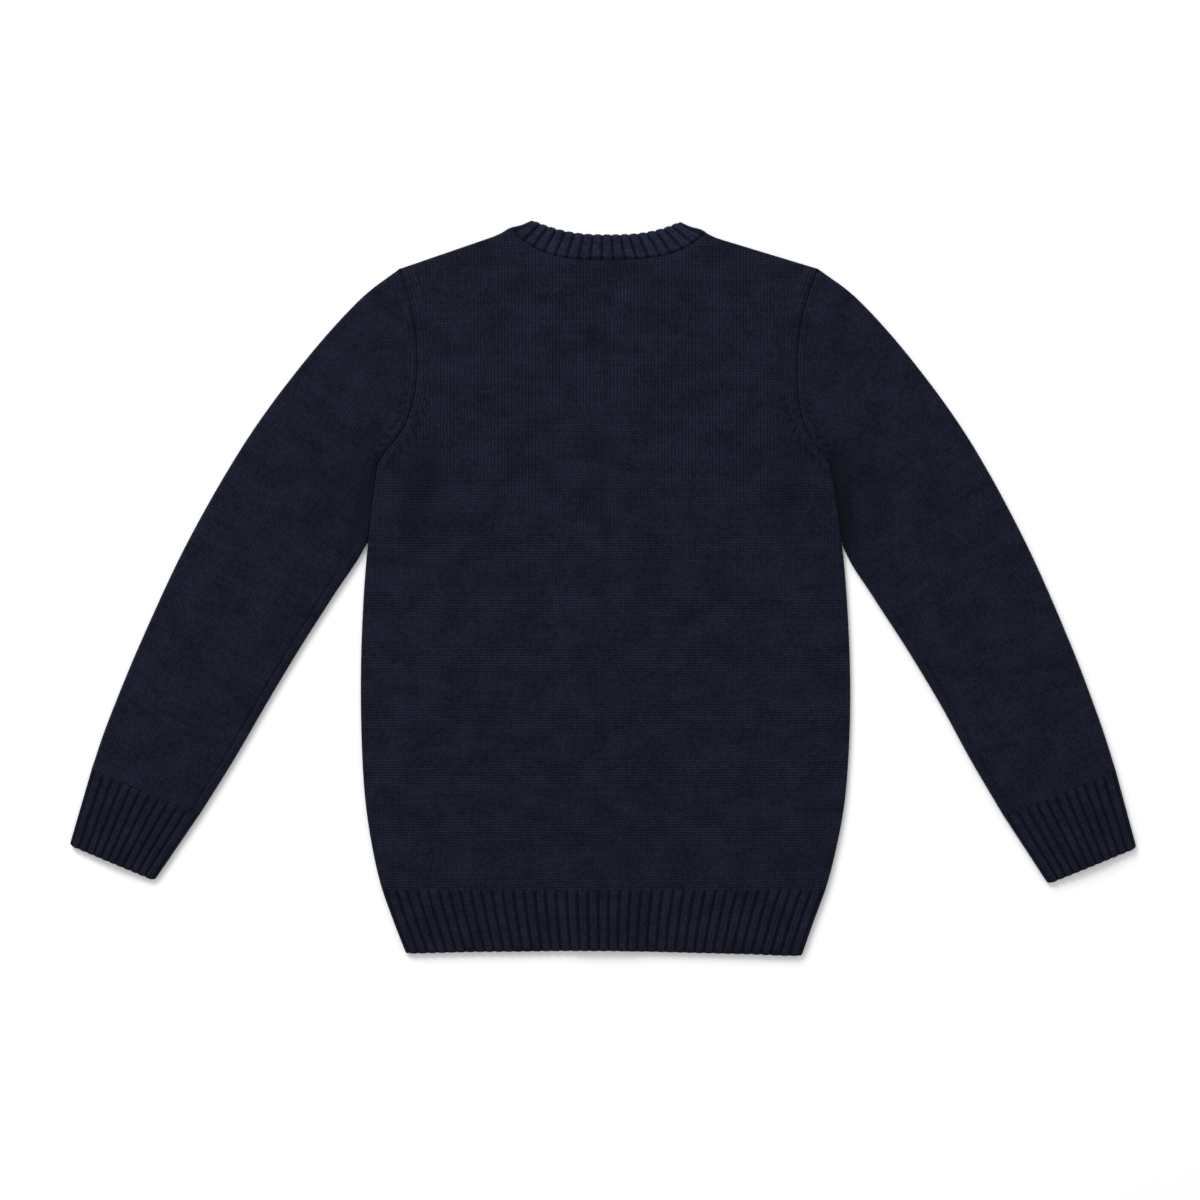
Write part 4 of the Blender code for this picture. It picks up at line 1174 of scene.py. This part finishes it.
HEM_EDGE = (                # the hem's lower edge: across, up
    (-0.1855, 0.0020), (-0.1375, 0.0034), (-0.0895, 0.0038), (-0.0415, 0.0045), (0.0065, 0.0045),
    (0.0545, 0.0035), (0.1025, 0.0022), (0.1505, 0.0009), (0.1745, -0.0002), (0.1975, -0.0005),
)
HEM_HALF = SIDE[0][1]
HEM_RIBS = 42
FRONT_HEM_RIBS = 20
HEM_CORNER = 0.0026         # radius of the corner at a side fold


def hem_edge_up(across):
    return np.interp(across, *np.array(HEM_EDGE).T)


def hem_strip(start_side, end_across, ribs, folds):
    """Rows of plan points from a hem strip's seam to its free edge, and their shares.

    The strip ends at the other side's line where end_across is None.
    """
    seam_up = HEM_DEPTH - RUN_ON_GAP / 2
    rows = spaced(HEM_DEPTH, RIB_ROW_STEP) / HEM_DEPTH
    sides = (start_side, -start_side)
    corner_ups = [hem_edge_up(side * HEM_HALF) for side in sides]
    start, end = [body_edge(SIDE, side, (seam_up,))[0, 0] for side in sides]
    width = abs((end_across or end) - start)
    share = cloth_places(width, ribs, folds) / width
    from_corner = np.where(folds[1], np.minimum(share, 1.0 - share), share) * width
    reach = 1.0 - rounding(from_corner, HEM_CORNER) / HEM_DEPTH
    plan = []
    for row in rows:
        start, end = [body_edge(SIDE, side, seam_up + (corner_up - seam_up) * row * reach)[:, 0]
                      for side, corner_up in zip(sides, corner_ups)]
        across = start + ((end if end_across is None else end_across) - start) * share
        plan.append(np.column_stack((across, seam_up + (hem_edge_up(across) - seam_up) * row * reach)))
    return np.array(plan), rows


def make_strip(name, plan, edges, rows, depth, ribs, layer, folds, seams):
    """A flat strip of ribbing, from its seam to its free edge."""
    counts = np.linspace(0.5, ribs + 0.5, plan.shape[1])
    return cloth_object(
        name,
        laid(plan, layer, folds, seams, ()),
        {"stitches": rib_map(counts, rows, depth)},
        rib_attributes(*edges, rows, counts),
        layer,
    )


def make_hem(name, node, start_side, end_across, ribs, folds, layer):
    plan, rows = hem_strip(start_side, end_across, ribs, folds)
    hem = make_strip(name, plan, (plan[0], plan[-1]), rows, HEM_DEPTH, ribs, layer,
                     SIDES.values(), [plan[-1]])
    knit_ribs(hem, RIB_KNIT, node)


make_hem("hem_back_ribbed", "hem_back", -1, None, HEM_RIBS, (1, 1), "upper")
for side, word in HANDS:
    make_hem("hem_front_%s_ribbed" % word, "hem_front_" + word, side, side * (HALF_LAP + SEAM_GAP / 2),
             FRONT_HEM_RIBS, (1, 0), "lower " + word)


# ---------------------------------------------------------- neckband and bands
# One long ribbed strip is linked on up the right front, round the back neck and
# down the left front, made here as three strips. Its ribs run across it. The right
# front's length carries the buttons; the left one has no buttonholes.

NECKBAND_RIBS = 18
NECKBAND_TOP = {-1: np.array((-0.0735, 0.7345)), 1: np.array((0.0745, 0.7330))}
NECKBAND_LOW_UP = 0.7202
NECKBAND_CURVE = {-1: 2.3, 1: 2.8}
NECKBAND_TIP = 0.0022       # radius of the band's tip at the shoulder
NECKBAND_SCALLOP = 0.0007
NECK_TURN_RUN = 0.060
BAND_RIB_PITCH = 0.0105
BAND_ROW_STEP = 0.003
BAND_POINTS = 200


def neckband_edges():
    seam = NECK_SEAM + np.array((0.0, SEAM_GAP / 3))
    seam = resample(seam, cloth_places(lengths(seam)[-1], NECKBAND_RIBS, (1, 1)))
    left = seam[:, 0] < 0
    across = np.where(left, seam[:, 0] / NECK[-1][0] * NECKBAND_TOP[-1][0],
                      seam[:, 0] / NECK[1][0] * NECKBAND_TOP[1][0])
    power = np.where(left, NECKBAND_CURVE[-1], NECKBAND_CURVE[1])
    return seam, np.column_stack((across, curved_up(across, NECKBAND_TOP, NECKBAND_LOW_UP, power)))


def band_edges(side):
    seam_line, slope = v_edge(side, np.linspace(float(hem_edge_up(0.0)), NECK[side][1], BAND_POINTS))
    facing = unit(np.column_stack((np.full(len(slope), -float(side)), slope)))
    seam_line = seam_line + facing * SEAM_GAP / 2
    run = lengths(seam_line)
    ribs = round(run[-1] / BAND_RIB_PITCH)
    along = cloth_places(run[-1], ribs, (0, 1))
    seam = resample(seam_line, along)
    facing_at = np.column_stack([np.interp(along, run, facing[:, k]) for k in (0, 1)])
    free = seam + unit(facing_at) * (BAND_WIDTH - SEAM_GAP / 2)
    near = ease(1.0 - np.linalg.norm(seam - seam[-1], axis=1) / NECK_TURN_RUN)
    free += (NECKBAND_TOP[side] - free[-1]) * near[:, None]
    return seam, free, ribs


BAND_ENDS = [np.array((NECK[side], NECKBAND_TOP[side])) for side, _ in HANDS]
# The neckband and the front bands take the rib knit 1.55 times brighter: painted light, for the neckband's
# top, which rolls up towards the lamp.
NECK_RIB_KNIT_PAINTED_LIGHT = knit_material("navy_rib_neck", slant=0.55, waver=0.12, relief=0.0005, ribbed=True,
                              brightness=1.55)


def make_band(name, node, seam, free, ribs, layer, rests_on, flat):
    rows = spaced(BAND_WIDTH, BAND_ROW_STEP) / BAND_WIDTH
    from_tip = np.min([np.linalg.norm(free - tip, axis=1) for tip in NECKBAND_TOP.values()], axis=0)
    free = free - unit(free - seam) * rounding(from_tip, NECKBAND_TIP)[:, None]
    points = seam + (free - seam) * rows[:, None, None]
    band = make_strip(name, points, (seam, free), rows, BAND_WIDTH, ribs, layer, BAND_ENDS,
                      [seam, free])
    knit_ribs(band, NECK_RIB_KNIT_PAINTED_LIGHT, node, scallop=NECKBAND_SCALLOP)


make_band("neckband_back_ribbed", "neckband_back", *neckband_edges(), NECKBAND_RIBS, "upper",
          ["band_left", "band_right"], (0.205, 0.026))
for side, word in HANDS:
    make_band("band_%s_ribbed" % word, "band_" + word, *band_edges(side), "lower " + word,
              ["button_1", "button_6"], (0.74, 0.026))


# -------------------------------------------------------------- linking stitches
# The same yarn, in short slanting stitches, links the neckband and the sleeves to
# the back. It lies deep in the seams, where only its beads show.

LINK_PITCH = 0.0026
LINK_RADIUS = 0.00034
LINK_SLANT = 0.0009
LINK_REACH = 0.46           # half a stitch's length, in pitches
LINK_CORE = 0.85            # thickness of the thread under the stitches, beside theirs
LINK_DEPTH = 0.00025
LINK_MARGIN = 0.004         # bare stretch at either end of a seam
LINK_STEP = 0.002
YARN_SIDES = 8


def offset_by(tree, **parts):
    """A vector from its parts x, y and z."""
    links = {"xyz".index(axis): value for axis, value in parts.items()}
    return add_node(tree, "ShaderNodeCombineXYZ", links)


def ring(tree, radius):
    """The round cross-section of a yarn."""
    return add_node(tree, "GeometryNodeCurvePrimitiveCircle", {"Resolution": YARN_SIDES, "Radius": radius})


def link_tree():
    """Geometry tree: slanting stitches of yarn set along a path of edges, round a core."""
    tree, given = new_tree("GeometryNodeTree", "linking_stitches", {
        "Path": "Geometry", "Pitch": LINK_PITCH, "Radius": LINK_RADIUS, "Slant": LINK_SLANT,
        "Seed": 0, "Yarn": "Material"}, {"Stitches": "Geometry"})
    path = add_node(tree, "GeometryNodeMeshToCurve", {0: given["Path"]})
    spots = add_node(tree, "GeometryNodeCurveToPoints", {"Curve": path, "Length": given["Pitch"]},
                     mode="LENGTH")
    reach = given["Pitch"] * LINK_REACH
    yarn = add_node(tree, "GeometryNodeCurvePrimitiveLine", {
        "Start": offset_by(tree, x=given["Slant"], z=reach * -1.0),
        "End": offset_by(tree, x=given["Slant"] * -1.0, z=reach)})
    bent = add_node(tree, "GeometryNodeResampleCurve", {"Curve": yarn, "Count": 5})
    along = add_node(tree, "GeometryNodeSplineParameter").of("Factor")
    stitch = add_node(tree, "GeometryNodeCurveToMesh", {
        "Curve": bent, "Profile Curve": ring(tree, given["Radius"]), "Fill Caps": True,
        "Scale": calc("SINE", (along + 0.02) * 3.02) ** 0.5})
    uneven = add_node(tree, "FunctionNodeRandomValue", {
        "Min": (0.9, 0.9, 0.86), "Max": (1.08, 1.12, 1.06), "Seed": given["Seed"]},
        data_type="FLOAT_VECTOR")
    set_out = add_node(tree, "GeometryNodeInstanceOnPoints", {
        "Points": spots.of("Points"), "Instance": stitch, "Rotation": spots.of("Rotation"),
        "Scale": uneven})
    core = add_node(tree, "GeometryNodeCurveToMesh", {
        "Curve": path, "Profile Curve": ring(tree, given["Radius"] * LINK_CORE)})
    both = add_node(tree, "GeometryNodeJoinGeometry", {0: [set_out, core]})
    add_node(tree, "NodeGroupOutput", {0: finished(tree, both, given["Yarn"])})
    return tree


def yarn_material():
    """Plied navy yarn, with painted light: a little paler where it stands proud, and in painted shade where
    it lies low.
    """
    yarn, shader = new_material("navy_linking_yarn", {"Roughness": 0.8, "Specular IOR Level": 0.1})
    place = add_node(yarn.node_tree, "ShaderNodeTexCoord").of("Object")
    ply = noise(place, 1500.0, 2.0)
    bump = add_node(yarn.node_tree, "ShaderNodeBump", {"Distance": 0.0002, "Strength": 0.6, "Height": ply})
    feed(shader, {"Base Color": two_tones(ply, 0.35, NAVY_PAINTED_SHADE, 0.7, NAVY), "Normal": bump})
    return yarn


def link_seam(name, path, seed):
    seam = resample(path, np.arange(LINK_MARGIN, lengths(path)[-1] - LINK_MARGIN, LINK_STEP))
    placed = laid(seam[None], "upper", BODY_FOLDS, [path], BACK_CREASES)[0]
    placed[:, 2] -= LINK_DEPTH
    stitches = mesh_object(name, placed.tolist(), [(k, k + 1) for k in range(len(placed) - 1)])
    run_tree(stitches, LINKS, yarn=LINK_YARN, seed=seed)
    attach(stitches, "root")


LINKS = link_tree()
LINK_YARN = yarn_material()
link_seam("neck_linking", NECK_SEAM, 3)
for side, word in HANDS:
    link_seam("armhole_%s_linking" % word, ARMHOLES[side], 5 + side)


# ---------------------------------------------------------------------- buttons
# Six dark horn buttons, turned, dished and drilled with four holes. Each lies face
# down on the table and is sewn to the right band with two loops of navy yarn.

BUTTON_RADIUS = 0.009
BUTTON_THICKNESS = 0.0022
BUTTON_DISH = 0.0006
BUTTON_EDGE = 0.0007        # how far the rounded edge bulges
BUTTON_LIP = 0.0025         # width of the raised rim
BUTTON_SLOPE = 0.0014
BUTTON_HOLE_RADIUS = 0.0010
BUTTON_HOLE_SPREAD = 0.0021
BUTTON_UPS = np.linspace(0.474, 0.033, 6)
BUTTON_SIDES = 56
HOLE_SIDES = 20
SHARP_FROM = 38             # degrees
THREAD_RADIUS = 0.00028
THREAD_STRANDS = 3
THREAD_PITCH = 1.9          # from strand to strand, in their radius
THREAD_TURN = 0.0005


def button_mesh():
    """Turned blank from a rounded profile, drilled by four cylinders."""
    half = BUTTON_THICKNESS / 2
    edge = [(BUTTON_RADIUS - BUTTON_EDGE + BUTTON_EDGE * math.cos(a), half + half * math.sin(a))
            for a in np.linspace(-math.pi / 2, math.pi / 2, 9)]
    slope = [(BUTTON_RADIUS - BUTTON_LIP + (BUTTON_SLOPE * (1.0 - t)), BUTTON_DISH * ease(t))
             for t in np.linspace(0.0, 1.0, 6)]
    profile = [(0.0, BUTTON_DISH)] + slope[::-1] + edge + [(0.0, BUTTON_THICKNESS)]
    blank = mesh_object("button_blank", [(r, 0.0, z) for r, z in profile],
                        [(k, k + 1) for k in range(len(profile) - 1)])
    lathe = blank.modifiers.new("lathe", "SCREW")
    lathe.steps = BUTTON_SIDES
    lathe.render_steps = BUTTON_SIDES
    lathe.use_merge_vertices = True
    lathe.merge_threshold = 1e-5
    lathe.use_normal_calculate = True
    drills = []
    for across in (-1, 1):
        for along in (-1, 1):
            place = (across * BUTTON_HOLE_SPREAD, along * BUTTON_HOLE_SPREAD, half)
            bpy.ops.mesh.primitive_cylinder_add(
                vertices=HOLE_SIDES, radius=BUTTON_HOLE_RADIUS, depth=BUTTON_THICKNESS * 3, location=place)
            drills.append(bpy.context.object)
            cut = blank.modifiers.new("hole", "BOOLEAN")
            cut.object = drills[-1]
            cut.operation = "DIFFERENCE"
            cut.solver = "EXACT"
    turned = settle(blank)
    for spent in drills + [blank]:
        bpy.data.objects.remove(spent)
    turned.polygons.foreach_set("material_index", [0] * len(turned.polygons))
    turned.shade_smooth()
    turned.set_sharp_from_angle(angle=math.radians(SHARP_FROM))
    return turned


def thread_tree():
    """Geometry tree: adds two loops of thread through a button's holes."""
    tree, given = new_tree("GeometryNodeTree", "sewn_thread", {
        "Button": "Geometry", "Spread": BUTTON_HOLE_SPREAD, "Radius": THREAD_RADIUS,
        "Turn": THREAD_TURN, "Low": BUTTON_DISH - THREAD_RADIUS,
        "High": BUTTON_THICKNESS + THREAD_RADIUS, "Strands": THREAD_STRANDS, "Thread": "Material"},
        {"Button": "Geometry"})
    outline = add_node(tree, "GeometryNodeCurvePrimitiveQuadrilateral", {
        "Width": given["High"] - given["Low"], "Height": given["Spread"] * 2.0})
    rounded = add_node(tree, "GeometryNodeFilletCurve", {
        "Curve": outline, "Count": 4, "Radius": given["Turn"]}, mode="POLY")
    upright = add_node(tree, "GeometryNodeTransform", {
        "Geometry": rounded, "Rotation": (0.0, math.pi / 2, 0.0),
        "Translation": offset_by(tree, z=(given["High"] + given["Low"]) * 0.5)})
    strand = add_node(tree, "GeometryNodeCurveToMesh", {
        "Curve": upright, "Profile Curve": ring(tree, given["Radius"])})
    step = offset_by(tree, x=given["Radius"] * THREAD_PITCH)
    side_by_side = given["Radius"] * (-THREAD_PITCH / 2) * (given["Strands"] - 1.0)
    loops = []
    for way in (-1.0, 1.0):
        line = add_node(tree, "GeometryNodeMeshLine", {
            "Count": given["Strands"], "Offset": step,
            "Start Location": offset_by(tree, x=side_by_side + given["Spread"] * way)}, mode="OFFSET")
        loops.append(add_node(tree, "GeometryNodeInstanceOnPoints", {"Points": line, "Instance": strand}))
    sewn = finished(tree, add_node(tree, "GeometryNodeJoinGeometry", {0: loops}), given["Thread"])
    whole = add_node(tree, "GeometryNodeJoinGeometry", {0: [sewn, given["Button"]]})
    add_node(tree, "NodeGroupOutput", {0: whole})
    return tree


def horn_material():
    """Polished dark horn, streaked brown and grey along its grain."""
    horn, shader = new_material("dark_horn", {"Roughness": 0.36, "Specular IOR Level": 0.35})
    place = add_node(horn.node_tree, "ShaderNodeTexCoord").of("Object")
    grain = add_node(horn.node_tree, "ShaderNodeMapping", {"Vector": place, "Scale": (900.0, 160.0, 300.0)})
    streaks = noise(grain, 1.0, 4.0, Distortion=0.8)
    feed(shader, {"Base Color": two_tones(
        streaks, 0.35, (0.0045, 0.0042, 0.0050, 1.0), 0.72, (0.030, 0.023, 0.019, 1.0))})
    return horn


turned = button_mesh()
turned.materials.clear()
turned.materials.append(horn_material())
THREAD = thread_tree()
for number, up in enumerate(BUTTON_UPS, 1):
    button = place_object("button_%d_sewn" % number, turned.copy())
    run_tree(button, THREAD, thread=LINK_YARN)
    button.data.transform(Matrix.Translation((PLAN_SHIFT[0], up + PLAN_SHIFT[1], 0.0)))
    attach(button, "root")
    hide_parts("button_%d" % number)
